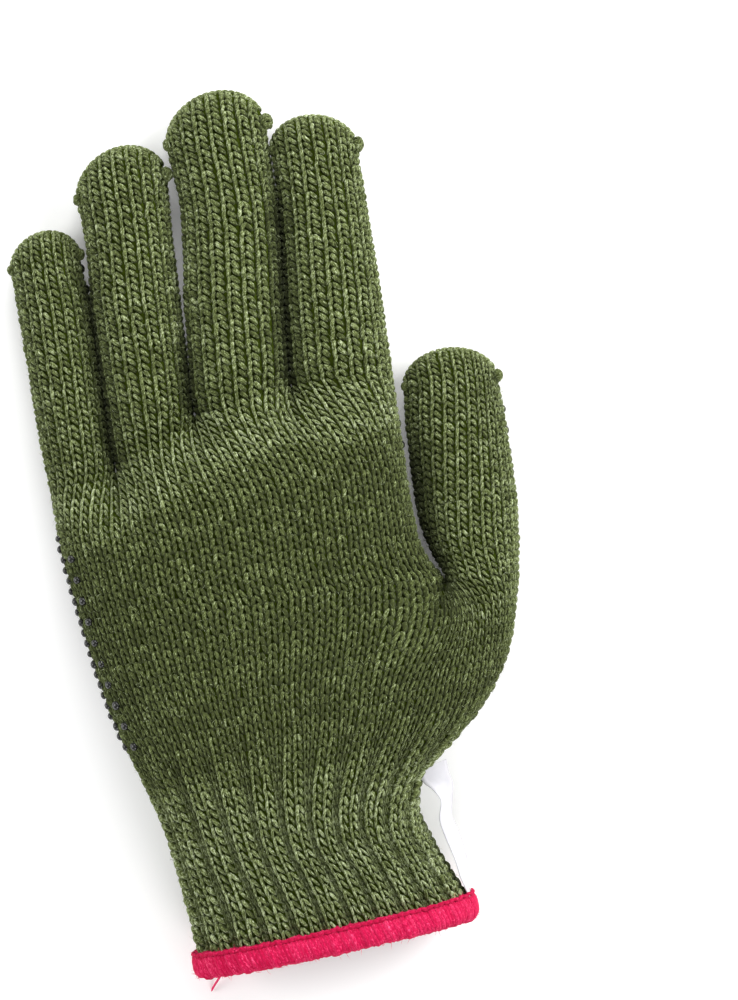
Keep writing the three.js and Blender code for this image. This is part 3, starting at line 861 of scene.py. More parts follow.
def joined_lattice(face):
    """The lower hand and the cuff as one lattice of all wales."""
    def across(key):
        arrays = [PATHS[face][f][key][:LOWER_ROWS] for f in FINGERS]
        return np.concatenate([arrays[0]] + [a[:, 1:] for a in arrays[1:]], 1)

    return Lattice(across("points"), across("normal"), across("course"))


def finger_lattices(face):
    return {f: Lattice(p["points"], p["normal"], p["course"], f) for f, p in PATHS[face].items()}


CLOTH = {face: finger_lattices(face) for face in SIDES}
LOWER_CLOTH = {face: joined_lattice(face) for face in SIDES}
HAND_TOP_COURSE = float(course_of(THUMB_CROTCH))
print("courses from the cuff to the middle fingertip:", round(float(CLOTH[1]["middle"].end.max()), 1))

# %% [markdown]
# ## Meshes from arrays
# The glove has thousands of stitches, so each piece is one mesh that is filled from NumPy arrays. Two
# small vectors travel with every vertex for the materials: `yarn` holds the place along and round the
# strand with a number of its own for each strand, and `tone` holds painted shade and light: how lit the
# vertex is, from how deep it lies and how open to the light, and how pale its strand is, which is the
# yarn's own heather with painted shade and light added. A map named OFBake lays every strand out in a
# cell of its own, so that baked textures stay sharp. The glove stands on its grip dots, and its own
# weight presses the stitches between them flat. So a mesh can be given a little room over the floor, and
# what lies lower is pressed up into it.

# %% Mesh builder
PRESSED_EDGE = 0.3  # softness of the step between the pressed cloth and the rest, in mm
UNDER_DOTS = 0.55  # height at which the stitches of a dotted part stay over the floor
CELL_MARGIN = 0.08  # share of a cell of the map that is left empty on each side


class Heap:
    """Collects grids of vertices, and turns them into one mesh."""

    def __init__(self):
        self.points, self.faces, self.yarn, self.tone, self.spots = [], [], [], [], []
        self.count = 0

    def add(self, points, closed_round=False, flip=False, yarn=None, tone=None):
        """points is [strand, ring, side, 3]; neighbouring rings and sides are joined by faces."""
        strands, rings, sides = points.shape[:3]
        index = self.count + np.arange(strands * rings * sides).reshape(strands, rings, sides)
        around = np.concatenate([index, index[:, :, :1]], 2) if closed_round else index
        a, b = around[:, :-1, :-1], around[:, :-1, 1:]
        c, d = around[:, 1:, 1:], around[:, 1:, :-1]
        quads = np.stack([a, d, c, b] if flip else [a, b, c, d], -1).reshape(-1, 4)
        self.faces.append(quads)
        self.points.append(points.reshape(-1, 3))
        zero = np.zeros(points.shape)
        self.yarn.append((zero if yarn is None else yarn).reshape(-1, 3))
        self.tone.append((zero if tone is None else tone).reshape(-1, 3))
        step = (rings - 1, around.shape[2] - 1)
        i, j = np.meshgrid(np.arange(step[0]), np.arange(step[1]), indexing="ij")
        corners = [np.stack([i + m, j + n], -1) for m, n in ((0, 0), (0, 1), (1, 1), (1, 0))]
        corners = np.stack(corners, 2)
        if flip:
            corners = corners[:, :, [0, 3, 2, 1]]
        self.spots.append((strands, corners.reshape(-1, 2) / np.array(step)))
        self.count += strands * rings * sides

    def bake_map(self):
        """Each strand in a cell of its own on the map."""
        total = sum(strands for strands, _ in self.spots)
        across = math.ceil(math.sqrt(total))
        made, first = [], 0
        for strands, spots in self.spots:
            cell = first + np.arange(strands)
            corner = np.stack([cell % across, cell // across], -1)[:, None]
            inside = CELL_MARGIN + (1 - 2 * CELL_MARGIN) * spots[None]
            made.append(((corner + inside) / across).reshape(-1, 2))
            first += strands
        return np.concatenate(made)

    def mesh(self, name, material, slot, room=0.0):
        """room is the height over the floor below which no point stays, where there are dots."""
        points = np.concatenate(self.points) - MIDDLE_OF_OUTLINE
        if room:
            above = points[:, 2] - room
            points[:, 2] = room + 0.5 * (above + np.sqrt(above**2 + PRESSED_EDGE**2))
        points[:, 2] = np.maximum(points[:, 2], LIFT)
        faces = np.concatenate(self.faces)
        mesh = bpy.data.meshes.new(name)
        mesh.vertices.add(len(points))
        mesh.vertices.foreach_set("co", (points * MM).astype(np.float32).ravel())
        mesh.loops.add(faces.size)
        mesh.loops.foreach_set("vertex_index", faces.astype(np.int32).ravel())
        mesh.polygons.add(len(faces))
        mesh.polygons.foreach_set("loop_start", np.arange(0, faces.size, 4, dtype=np.int32))
        mesh.update(calc_edges=True)
        mesh.polygons.foreach_set("use_smooth", np.full(len(faces), True))
        for key, rows in (("yarn", self.yarn), ("tone", self.tone)):
            layer = mesh.attributes.new(key, "FLOAT_VECTOR", "POINT")
            layer.data.foreach_set("vector", np.concatenate(rows).astype(np.float32).ravel())
        layer = mesh.uv_layers.new(name="OFBake")
        layer.uv.foreach_set("vector", self.bake_map().astype(np.float32).ravel())
        mesh.materials.append(material)
        thing = bpy.data.objects.new(name, mesh)
        bpy.context.scene.collection.objects.link(thing)
        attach(thing, "root")
        print(name, 2 * len(faces), "triangles")
        return thing


print("a blank heap holds", Heap().count, "points")

# %% Strands
def around_circle(sides):
    return np.arange(sides) * 2 * math.pi / sides


def strands(paths, radii, sides, reference):
    """Round strands along paths [strand, ring, 3]. reference is any direction that no path follows."""
    tangent = unit(np.gradient(paths, axis=1))
    sideways = unit(np.cross(tangent, np.broadcast_to(reference, paths.shape)))
    upward = np.cross(sideways, tangent)
    angle = around_circle(sides)
    ring = sideways[:, :, None] * np.cos(angle)[:, None] + upward[:, :, None] * np.sin(angle)[:, None]
    return paths[:, :, None] + ring * np.asarray(radii)[..., None, None]


def strand_marks(paths, sides, radius, painted_lit=1.0, shade=None):
    """yarn and tone for round strands: place along and round, a random number and shade each, and painted
    shade from painted_lit.
    """
    count, rings = paths.shape[:2]
    steps = np.linalg.norm(np.diff(paths, axis=1), axis=2)
    along = np.concatenate([np.zeros((count, 1)), np.cumsum(steps, 1)], 1)
    own = rng.random(count)
    shade = rng.random(count) if shade is None else shade
    yarn = np.empty((count, rings, sides, 3))
    yarn[..., 0] = along[:, :, None]
    yarn[..., 1] = around_circle(sides) * radius
    yarn[..., 2] = own[:, None, None]
    tone = np.zeros_like(yarn)
    tone[..., 0] = painted_lit
    tone[..., 1] = shade[:, None, None]
    return {"yarn": yarn, "tone": tone}


print("sides of a strand, in degrees:", np.degrees(around_circle(6)).round())

# %% [markdown]
# ## Shader maths
# Materials are written as sums. A `Value` wraps the output of a node, and the usual signs on it add Math
# nodes. Colours are blended by Mix nodes. Every other node comes from `Shader.add`.

# %% Values that can be reckoned with
class Value:
    """The output of a shader node."""

    def __init__(self, shader, socket):
        self.shader, self.socket = shader, socket

    def maths(self, operation, *terms):
        return self.shader.add("ShaderNodeMath", {"operation": operation}, dict(enumerate(terms)))

    def __add__(self, other):
        return self.maths("ADD", self, other)

    def __sub__(self, other):
        return self.maths("SUBTRACT", self, other)

    def __rsub__(self, other):
        return self.maths("SUBTRACT", other, self)

    def __mul__(self, other):
        return self.maths("MULTIPLY", self, other)

    def clamped(self):
        return self.maths("MINIMUM", self.maths("MAXIMUM", self, 0.0), 1.0)

    __radd__, __rmul__ = __add__, __mul__


print("signs of a Value: + - *")

# %% Shaders
class Shader:
    """A material that is built up around its Principled shader."""

    def __init__(self, name):
        self.material = bpy.data.materials.new(name)
        self.material.use_nodes = True
        self.nodes = self.material.node_tree.nodes
        self.surface = self.nodes["Principled BSDF"]

    def link(self, value, socket):
        if isinstance(value, Value):
            self.material.node_tree.links.new(value.socket, socket)
        else:
            socket.default_value = value

    def add(self, kind, settings=None, sockets=None, output=0):
        """Adds a node: settings first, then the values or links of its sockets."""
        node = self.nodes.new(kind)
        for key, setting in (settings or {}).items():
            setattr(node, key, setting)
        for key, value in (sockets or {}).items():
            self.link(value, node.inputs[key])
        return Value(self, node.outputs[output])

    def blend(self, factor, a, b, how="MIX"):
        settings = {"data_type": "RGBA", "blend_type": how}
        return self.add("ShaderNodeMix", settings, {0: factor, 6: a, 7: b}, 2)

    def attribute(self, name):
        return self.add("ShaderNodeAttribute", {"attribute_name": name}, output="Vector")

    def parts(self, vector):
        node = self.nodes.new("ShaderNodeSeparateXYZ")
        self.link(vector, node.inputs[0])
        return [Value(self, o) for o in node.outputs]

    def vector(self, x, y, z):
        return self.add("ShaderNodeCombineXYZ", sockets={0: x, 1: y, 2: z})

    def noise(self, vector, scale, detail=2.0, roughness=0.5):
        sockets = {"Vector": vector, "Scale": scale, "Detail": detail, "Roughness": roughness}
        return self.add("ShaderNodeTexNoise", {"noise_dimensions": "3D"}, sockets)

    def set_constants(self, **values):
        """Values that are the same all over the piece go on the sockets of the Principled shader."""
        for key, value in values.items():
            self.surface.inputs[key.replace("_", " ")].default_value = value

    def finish(self, **sockets):
        """What varies over the surface goes into the sockets as links, and the material is done."""
        for key, value in sockets.items():
            self.link(value, self.surface.inputs[key.replace("_", " ")])
        return self.material


def srgb(r, g, b):
    """A colour as picked on a screen, from 0 to 255, in the linear numbers that shaders use."""
    c = np.array([r, g, b]) / 255
    linear = np.where(c <= 0.04045, c / 12.92, ((c + 0.055) / 1.055) ** 2.4)
    return (*linear, 1.0)


print("middle grey in linear numbers:", round(srgb(128, 128, 128)[0], 3))

# %% [markdown]
# ## Yarn
# The yarn is a heather: pale and dark green fibres spun together, so its shade drifts along the strand
# and differs from stitch to stitch. Fine noise that is stretched along the strand draws the fibres, and
# the same noise drives a small bump. The sides of each strand are darkened with their depth: painted shade,
# for the shade that the thousands of loose fibres of real yarn throw on each other. A little sheen in the
# yarn's own pale colour stands for the fibres that stick out. A white one would turn the glove grey when
# it is seen from low down.

# %% Yarn material
FIBRE_DEPTH, YARN_DEPTH = 0.00022, 0.64  # metres; share of the light that is lost at the foot of a strand, as painted shade


def yarn_material(name, dark, body, pale, depth=YARN_DEPTH):
    s = Shader(name)
    along, around, own = s.parts(s.attribute("yarn"))
    painted_lit, shade, _ = s.parts(s.attribute("tone"))
    twisted = s.vector(along * 0.7 + around * 0.5, around * 2.0 - along * 0.7, own * 37.0)
    fibres = s.noise(twisted, 1.7, 3.0, 0.75)
    flecks = s.noise(s.vector(along * 0.7 + own * 11.0, around * 1.6, own * 53.0), 1.4, 2.0)
    paleness = (fibres * 5.0 - 2.5) + (flecks * 1.6 - 0.8) + shade
    colour = s.blend(paleness.clamped(), dark, body)
    colour = s.blend((paleness * 1.2 - 0.85).clamped(), colour, pale)
    # Painted shade: the colour is multiplied by how lit the tone says the point is.
    light = 1 - depth * (1 - painted_lit).clamped()
    grey = s.add("ShaderNodeCombineColor", sockets={0: light, 1: light, 2: light})
    colour = s.blend(1.0, colour, grey, "MULTIPLY")
    bump = s.add("ShaderNodeBump", sockets={"Strength": 0.5, "Distance": FIBRE_DEPTH, "Height": fibres})
    s.set_constants(Sheen_Weight=0.22, Sheen_Tint=pale, Sheen_Roughness=0.5, Specular_IOR_Level=0.15)
    return s.finish(Base_Color=colour, Roughness=0.78 + 0.16 * fibres, Normal=bump)


GREEN_YARN = yarn_material("green_yarn", srgb(53, 60, 26), srgb(121, 134, 76), srgb(200, 210, 176))
print("nodes in the yarn:", len(GREEN_YARN.node_tree.nodes))

# %% [markdown]
# Behind the stitches lies more cloth, which gets hardly any light. It needs no strands of its own: a dark
# green with fine specks, the yarn's green with painted shade in it, and a bump from coarser noise for the
# loops at the back of the knitting.

# %% Cloth under the stitches
LOOP_DEPTH = 0.0006  # metres


def shaded_backing_material():
    """The cloth between and behind the stitches, darkened with painted shade, ribbed a little by the loops at
    its back.
    """
    s = Shader("painted_shade_backing_cloth")
    where = s.add("ShaderNodeTexCoord", output="Object")
    specks = s.noise(where, 900.0, 3.0, 0.6)
    loops = s.noise(where, 260.0, 1.0)
    colour = s.blend(specks, srgb(32, 40, 8), srgb(60, 72, 18))
    bump = s.add("ShaderNodeBump", sockets={"Strength": 0.8, "Distance": LOOP_DEPTH, "Height": loops})
    s.set_constants(Specular_IOR_Level=0.0)
    return s.finish(Base_Color=colour, Roughness=0.9 + 0.1 * specks, Normal=bump)


BACKING = shaded_backing_material()
print("cloth under the stitches:", BACKING.name)

# %% [markdown]
# ## Stitches
# Seen from outside, a knit stitch is two legs that meet at the top, like the sides of a roof. The yarn's
# twist pulls them out of true: the left leg stands upright and runs on from stitch to stitch as a bright
# cord, and the right one leans over and leaves a dark gap above and below. Where the cloth is stretched,
# over the hand, both legs lean in alike and close the gap. So each leg is given by its foot and its head
# for an open stitch and for a tight one, and every stitch has its own blend of the two. A leg is half a
# tube, open towards the cloth, of six rings with five points each: enough to be round at this size, and
# light enough for ten thousand stitches. On the palm, among the dots, five rings do. Where the cloth is
# tight, its columns also stand apart, with a furrow between them.

# %% The shape of a leg
RING_AT = np.array([0.0, 0.2, 0.42, 0.65, 0.87, 1.0])  # places of the rings from foot to head
KEPT_RINGS = {1: [0, 1, 2, 3, 4, 5], -1: [0, 1, 3, 4, 5]}
LEGS = {  # foot and head in wales and courses, and the width in wales: of an open and of a tight stitch
    "left": ((0.17, -0.30, 0.27, 1.10, 0.28), (0.11, -0.38, 0.40, 1.12, 0.37)),
    "right": ((0.96, -0.08, 0.42, 1.00, 0.33), (0.94, -0.32, 0.64, 1.08, 0.38)),
}
FULLNESS = {
    "left": np.array([0.62, 0.92, 1.0, 1.0, 0.94, 0.66]),
    "right": np.array([0.60, 0.90, 1.0, 1.0, 0.92, 0.70]),
}
STANDING = {  # height of the strand's axis from foot to head, in mm
    "left": np.array([-0.72, -0.20, 0.06, 0.14, 0.06, -0.36]),
    "right": np.array([-0.80, -0.26, 0.02, 0.10, 0.0, -0.44]),
}
# Painted light on the upright left legs, which make the bright cord, and painted shade on the leaning right
# ones.
LEG_PAINTED_LIGHT = {"left": 0.06, "right": -0.05}
ROUND = np.radians([-108, -56, 0, 56, 108])  # the half tube's points, from the top of the strand
TALL = 1.12  # height of a strand for a width of 1
AXIS_DEPTH = -0.56  # of the strand's axis under the glove's surface
THINNEST, THICKEST = 0.7, 2.0  # widths between which every strand stays, in mm
YARN_ROUND = 0.8  # place round a strand at its sides, for the noise in the material
# FURROW_SHADE is painted shade in the furrows between the columns of tight cloth.
FURROW_DEPTH, FURROW_SHADE = 0.3, 0.25
print("rings of a leg on the back and on the palm:", [len(kept) for kept in KEPT_RINGS.values()])

# %% How stitches differ
PLACE_SPREAD, WIDTH_SPREAD, HEIGHT_SPREAD = 0.04, 0.08, 0.08
OPEN_SPREAD, TIGHT_SPREAD = 0.09, 0.12  # of the shade from stitch to stitch
HOLLOW_SHADE = 0.6  # painted shade: how much darker the yarn is where hardly any light comes
DEEP, DEEP_TO_TOP = 0.75, 0.9  # painted shade: depth at which a strand is wholly dark, and how far over that it is lit


def heather(wale, course, spread):
    """Shade of each stitch. One strand runs along a whole course, so neighbours in it are alike."""
    row = np.floor(course).astype(int)
    drift = np.sin(wale * 0.9 + row * 2.39) + np.sin(wale * 0.37 + row * 5.13)
    return 0.5 + 0.07 * drift + spread * rng.normal(0, 1, len(wale))


def stitch_size(cloth, wale, course):
    """Width and height of each stitch in mm, kept from vanishing at the closed tips."""
    size = []
    for aside, up, least in ((0.5, 0.0, 0.8), (0.0, 0.5, 0.5)):
        far = cloth.place(wale + 0.5 + aside, course + 0.5 + up)
        near = cloth.place(wale + 0.5 - aside, course + 0.5 - up)
        size.append(np.maximum(np.linalg.norm(far - near, axis=1), least))
    return size


middle_stitch = stitch_size(CLOTH[1]["middle"], np.array([4.0]), np.array([60.0]))
print("a stitch of the middle finger in mm:", [round(float(side[0]), 2) for side in middle_stitch])

# %% Legs of many stitches
def stitch_legs(cloth, face, kind, wale, course, tight, shade):
    """Legs of one kind at the given wales and courses, as points with their yarn and tone."""
    count = len(wale)
    tight = np.broadcast_to(np.asarray(tight, float), wale.shape)
    foot_u, foot_w, head_u, head_w, width = [mix(a, b, tight) for a, b in zip(*LEGS[kind])]
    if face < 0:
        foot_u, head_u = 1 - foot_u, 1 - head_u
    wale_mm, course_mm = stitch_size(cloth, wale, course)
    jitter = rng.normal(0, PLACE_SPREAD, (4, count))
    ends = (foot_u, foot_w, head_u, head_w)
    foot_u, foot_w, head_u, head_w = [end + moved for end, moved in zip(ends, jitter)]
    kept = KEPT_RINGS[face]
    s = RING_AT[None, kept]
    across = foot_u[:, None] + (head_u - foot_u)[:, None] * s
    up = foot_w[:, None] + (head_w - foot_w)[:, None] * s
    lean = np.stack([(head_u - foot_u) * wale_mm, (head_w - foot_w) * course_mm], -1)
    length = np.linalg.norm(lean, axis=1)
    lean = lean / length[:, None]
    radius = np.clip(width * wale_mm, THINNEST, THICKEST) / 2 * rng.normal(1, WIDTH_SPREAD, count)
    full = FULLNESS[kind][None, kept, None]
    spread = radius[:, None, None] * full * np.sin(ROUND)
    high = (radius * TALL)[:, None, None] * full * np.cos(ROUND)
    u = wale[:, None, None] + across[..., None] + spread * (lean[:, 1] / wale_mm)[:, None, None]
    w = course[:, None, None] + up[..., None] - spread * (lean[:, 0] / course_mm)[:, None, None]
    stand = STANDING[kind][None, kept, None] + AXIS_DEPTH + rng.normal(0, HEIGHT_SPREAD, count)[:, None, None]
    furrow = tight[:, None, None] * clamp01(2 * np.abs(u - wale[:, None, None] - 0.5)) ** 3
    points = cloth.place(u, w, stand + high - FURROW_DEPTH * furrow)
    yarn = np.empty(points.shape)
    yarn[..., 0] = s[..., None] * length[:, None, None]
    yarn[..., 1] = np.sin(ROUND) * YARN_ROUND
    yarn[..., 2] = rng.random(count)[:, None, None]
    tone = np.zeros(points.shape)
    # Painted shade: the tone's first part darkens each strand with its depth, in the furrows and in the
    # valleys; its second part adds the painted shade and light of the valleys, the legs and the region to the
    # heather.
    open_share = cloth.open_to_light(wale + 0.5, course + 0.5)
    lit = open_share[:, None, None] * (1 - FURROW_SHADE * furrow)
    tone[..., 0] = clamp01((stand + high + DEEP) / DEEP_TO_TOP) * lit
    shade = shade + LEG_PAINTED_LIGHT[kind] - HOLLOW_SHADE * (1 - open_share)
    tone[..., 1] = (heather(wale, course, mix(OPEN_SPREAD, TIGHT_SPREAD, tight)) + shade)[:, None, None]
    return points, yarn, tone


print("kinds of legs:", list(LEGS))

# %% Stitches of a region
def cells(wales, low, high):
    """Cells of the knitting from wale 0, between two courses: each may differ from wale to wale."""
    wale, course = [], []
    for n in range(wales):
        first, last = math.ceil(low[n] - 0.01), math.floor(high[n] + 0.01)
        course.append(np.arange(first, last, dtype=float))
        wale.append(np.full(len(course[-1]), float(n)))
    return np.concatenate(wale), np.concatenate(course)


def knit(heap, cloth, face, stitches, tight, shade):
    """Fills a heap with both legs of all stitches, which are given as wales and courses."""
    wale, course = stitches
    for kind in LEGS:
        points, yarn, tone = stitch_legs(cloth, face, kind, wale, course, tight, shade)
        heap.add(points, flip=face < 0, yarn=yarn, tone=tone)


def crotch_course(finger, wale):
    """Course at which a finger's wales leave the hand."""
    return course_of(crotch_line(finger, 2 * (wale + 0.5) / WALES[finger] - 1))


print("the ring finger's wales leave the hand at courses", crotch_course("ring", np.arange(9)).round(1))

# %% Stitches of the fingers
NODE_OF = {f: "thumb" if f == "thumb" else f + "_finger" for f in FINGERS}
HEAPS = {f: Heap() for f in FINGERS}
LOOSE, HALF_LOOSE, TIGHT = 0.08, 0.12, 0.95  # how tight the stitches are: on fingers, below them, on the hand
FINGER_SHADE, HAND_SHADE, CUFF_SHADE = -0.09, -0.43, 0.07  # how pale the yarn is drawn: the tight hand darker than the fingers and the cuff, as painted shade for the less light its tight stitches catch
for finger in FINGERS:
    lowest = np.floor(crotch_course(finger, np.arange(WALES[finger])))
    for face in SIDES:
        cloth = CLOTH[face][finger]
        stitches = cells(WALES[finger], lowest, cloth.end[1::2] + 0.3)
        knit(HEAPS[finger], cloth, face, stitches, LOOSE, FINGER_SHADE)
print("points in the stitches of the fingers:", sum(heap.count for heap in HEAPS.values()))

# %% [markdown]
# The hand is knitted with the same stitches, only tighter ones from a few courses below the fingers. The
# four fingers' lattices carry it down to the thumb's crotch, and the lattice of all wales from there on.
# Over the knuckles, which face the light, the yarn is drawn a little paler as a painted highlight.

# %% Stitches of the upper hand
TIGHTENED_FROM, TIGHTENED_OVER = 2, 11  # courses below the crotch
KNUCKLE_PAINTED_HIGHLIGHT = (5.0, 4.5, 0.22)  # courses below the crotch, their reach, and how much lighter it is there: a painted highlight
MEETING_COURSE = math.floor(HAND_TOP_COURSE)  # where the stitches of the two halves of the hand meet
upper_heap = Heap()
for finger in FINGERS[:4]:
    top = np.floor(crotch_course(finger, np.arange(WALES[finger])))
    for face in SIDES:
        wale, course = cells(WALES[finger], np.full(WALES[finger], MEETING_COURSE), top)
        under = top[wale.astype(int)] - course
        way = smooth((under - TIGHTENED_FROM) / TIGHTENED_OVER)
        shade = mix(FINGER_SHADE, HAND_SHADE, way) + swell(KNUCKLE_PAINTED_HIGHLIGHT, under)
        knit(upper_heap, CLOTH[face][finger], face, (wale, course), mix(HALF_LOOSE, TIGHT, way), shade)
print("points in the stitches of the upper hand:", upper_heap.count)

# %% Stitches of the lower hand
RIBS_FROM = 10  # course of the lower hand below which the ribs begin to show
ROOT_WALES, ROOT_COURSES = (34, 4), 15  # first wale and fade of the thumb's looser root, and its height
ROOT_TIGHT = 0.1
lower_heap = Heap()
for face in SIDES:
    wale, course = cells(ALL_WALES, np.full(ALL_WALES, RIBS_FROM), np.full(ALL_WALES, MEETING_COURSE))
    root = smooth((wale - ROOT_WALES[0]) / ROOT_WALES[1])
    root = root * smooth((course - HAND_TOP_COURSE + ROOT_COURSES) / ROOT_COURSES)
    tight, shade = mix(TIGHT, ROOT_TIGHT, root), mix(HAND_SHADE, FINGER_SHADE, root)
    knit(lower_heap, LOWER_CLOTH[face], face, (wale, course), tight, shade)
print("points in the stitches of the lower hand:", lower_heap.count)

# %% [markdown]
# ## Ribs
# In the cuff two wales of knit stitches alternate with two of purl, and the purl ones sink between the
# others until they all but vanish. So the wales are moved together in pairs, and the pairs between them
# pushed in. The change comes gradually over the last courses of the hand.

# %% Ribbed cloth
RIB_WALES = 4  # two proud ones and two sunk ones
RIB_DEPTH, RIB_FADE = 1.3, 13.0  # mm; courses
RIB_SLOPE = (0.55, 0.95)  # wales from a rib's middle at which it begins to sink, and how wide its slope is
PROUD_SHARE = 0.78  # how much of a rib's width its two proud wales take
SUNK_DARK = 0.3  # painted shade: how much less light reaches the sunk ones
SHADE_SLOPE = (0.9, 0.8)  # wales from a rib's middle at which its painted shade begins, and over how many


def rib_fade(course):
    """0 in the smooth hand, 1 in the cuff."""
    return smooth((RIBS_FROM - course) / RIB_FADE)


class RibbedCloth:
    """The cuff's cloth: like a lattice, but with its wales crowded into ribs."""

    def __init__(self, face):
        self.flat, self.face = LOWER_CLOTH[face], face

    def turn(self, wale):
        """Place within a rib: its proud wales from 0 to 2, and the sunk ones from 2 to 4."""
        return np.mod(wale if self.face > 0 else 2 * ALL_WALES - wale, RIB_WALES)

    def from_rib(self, wale):
        """Wales from the middle of the nearest rib."""
        return np.abs(np.mod(self.turn(wale) + 1, RIB_WALES) - 2)

    def place(self, wale, course, out=0.0):
        turn = self.turn(wale)
        fade = rib_fade(course)
        widen = 2 * PROUD_SHARE - 1
        shift = np.where(turn < 2, (turn - 1) * widen, (3 - turn) * widen)
        depth = RIB_DEPTH * smooth((self.from_rib(wale) - RIB_SLOPE[0]) / RIB_SLOPE[1]) * fade
        return self.flat.place(wale + shift * fade * self.face, course, out - depth)

    # Painted shade on the sunk wales between the ribs.
    def open_to_light(self, wale, course):
        beside = smooth((self.from_rib(wale) - SHADE_SLOPE[0]) / SHADE_SLOPE[1])
        return 1 - SUNK_DARK * beside * rib_fade(course)


CUFF_CLOTH = {face: RibbedCloth(face) for face in SIDES}
print("ribs round the cuff:", 2 * ALL_WALES // RIB_WALES)

# %% Stitches of the cuff
CUFF_TIGHT = 0.3
cuff_heap = Heap()
for face in SIDES:
    for target, low, high in ((lower_heap, 0, RIBS_FROM), (cuff_heap, -15, 0)):
        wale, course = cells(ALL_WALES, np.full(ALL_WALES, low), np.full(ALL_WALES, high))
        fade = rib_fade(course) ** 1.5
        tight, shade = mix(TIGHT, CUFF_TIGHT, fade), mix(HAND_SHADE, CUFF_SHADE, fade)
        knit(target, CUFF_CLOTH[face], face, (wale, course), tight, shade)
print("points in the stitches of the cuff:", cuff_heap.count)

# %% [markdown]
# ## The cloth behind the stitches
# Between the legs one sees the cloth's dark inside, and through the cuff's mouth its far wall. So every
# part gets a double wall under its stitches, open where the real one is. It replaces the plain solid.

# %% Double walls
OUTER_DEPTH, INNER_DEPTH = 0.95, 2.0
TIP_DEPTH, TIP_ROWS = 0.35, 4  # the walls come closer to the stitches at the tips, from this row on


def loops(back, palm):
    """Rows of points once round: along the back, then along the palm to where it began."""
    return np.concatenate([back[:, :-1], palm[:, :0:-1]], 1)


def shell(rows_of):
    """A double wall. rows_of(face, depth) gives the rows of one face at a depth under the surface."""
    outer = loops(rows_of(1, OUTER_DEPTH), rows_of(-1, OUTER_DEPTH))
    inner = loops(rows_of(1, INNER_DEPTH), rows_of(-1, INNER_DEPTH))
    return np.concatenate([outer, inner[::-1], outer[:1]], 0)


def add_backing(name, rows_of, node, slot):
    heap = Heap()
    heap.add(shell(rows_of)[None], closed_round=True, flip=True)
    thing = heap.mesh(name, BACKING, slot)
    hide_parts(node)


print("thickness of the cloth behind the stitches:", INNER_DEPTH - OUTER_DEPTH, "mm")

# %% Walls of the fingers
def path_rows(finger, rows):
    """Every second row of the paths, and always the last."""
    def rows_of(face, depth):
        path = PATHS[face][finger]
        past_foot = np.arange(len(path["points"])) - path["foot"] - TIP_ROWS
        depths = depth - (OUTER_DEPTH - TIP_DEPTH) * smooth(past_foot / (DOME_ROWS - TIP_ROWS))
        found = (path["points"] - path["normal"] * depths[:, None, None])[rows]
        return np.concatenate([found[:-1:2], found[-1:]])

    return rows_of


for finger in FINGERS:
    start = LOWER_ROWS - 1 if finger == "thumb" else UPPER_ROWS - 1
    node = NODE_OF[finger]
    add_backing(node + "_cloth", path_rows(finger, slice(start, None)), node, "knit_yarn")

# %% Walls of the hand and the cuff
LOWEST_WALL = -15.4  # course at which the walls end, inside the hem


def upper_rows(face, depth):
    parts = [path_rows(f, slice(LOWER_ROWS - 1, UPPER_ROWS))(face, depth) for f in FINGERS[:4]]
    return np.concatenate([parts[0]] + [p[:, 1:] for p in parts[1:]], 1)


def cuff_rows(low, high):
    def rows_of(face, depth):
        courses = np.linspace(low, high, int(high - low) + 1)
        wale, course = np.meshgrid(HALF_WALES, courses)
        return CUFF_CLOTH[face].place(wale, course, np.full(wale.shape, -depth))

    return rows_of


add_backing("upper_hand_cloth", upper_rows, "upper_hand", "knit_yarn")
add_backing("lower_hand_cloth", cuff_rows(0, HAND_TOP_COURSE), "lower_hand", "knit_yarn")
add_backing("rib_cuff_cloth", cuff_rows(LOWEST_WALL, 0), "rib_cuff", "rib_yarn")

# %% [markdown]
# ## Closed fingertips
# Each finger is closed by a seam that runs over its tip from edge to edge. Its stitches are short strands
# that reach over the seam from the back to the palm. The yarn's ends are knotted at both corners, and
# the knots stick out as little ears, the one on the right being the bigger.

# %% Strands with thin ends
END_TAPER, SHADE_SPREAD = 0.45, 0.12


def add_strands(heap, paths, radius, sides, reference, shade=0.5, painted_lit=0.95):
    """Round strands with thinner ends. painted_lit is their painted shade: the share of the light they get.
    """
    rings = paths.shape[1]
    ends = np.minimum(np.arange(rings), np.arange(rings)[::-1])
    radii = radius * np.where(ends == 0, END_TAPER, 1.0) * np.ones((len(paths), 1))
    shades = clamp01(shade + rng.normal(0, SHADE_SPREAD, len(paths)))
    marks = strand_marks(paths, sides, radius, painted_lit, shades)
    heap.add(strands(paths, radii, sides, reference), closed_round=True, **marks)


print("ends of a strand taper to", END_TAPER)

# %% Closing seams
SEAM_PITCH = 1.9
SEAM_TURN = 0.985  # how far over the dome the line lies that the seam follows
SEAM_REACH, SEAM_RADIUS = 1.45, 0.7  # of each strand over the seam
SEAM_SINK = (0.1, 0.9)  # how deep a strand lies at its middle, and how much deeper at its ends
SEAM_FREE = (0.9, 0.6)  # mm left free at the left and the right end of the seam
SEAM_LEAN = (0.75, 0.12)  # how far the strands lean along the seam, and how much that differs


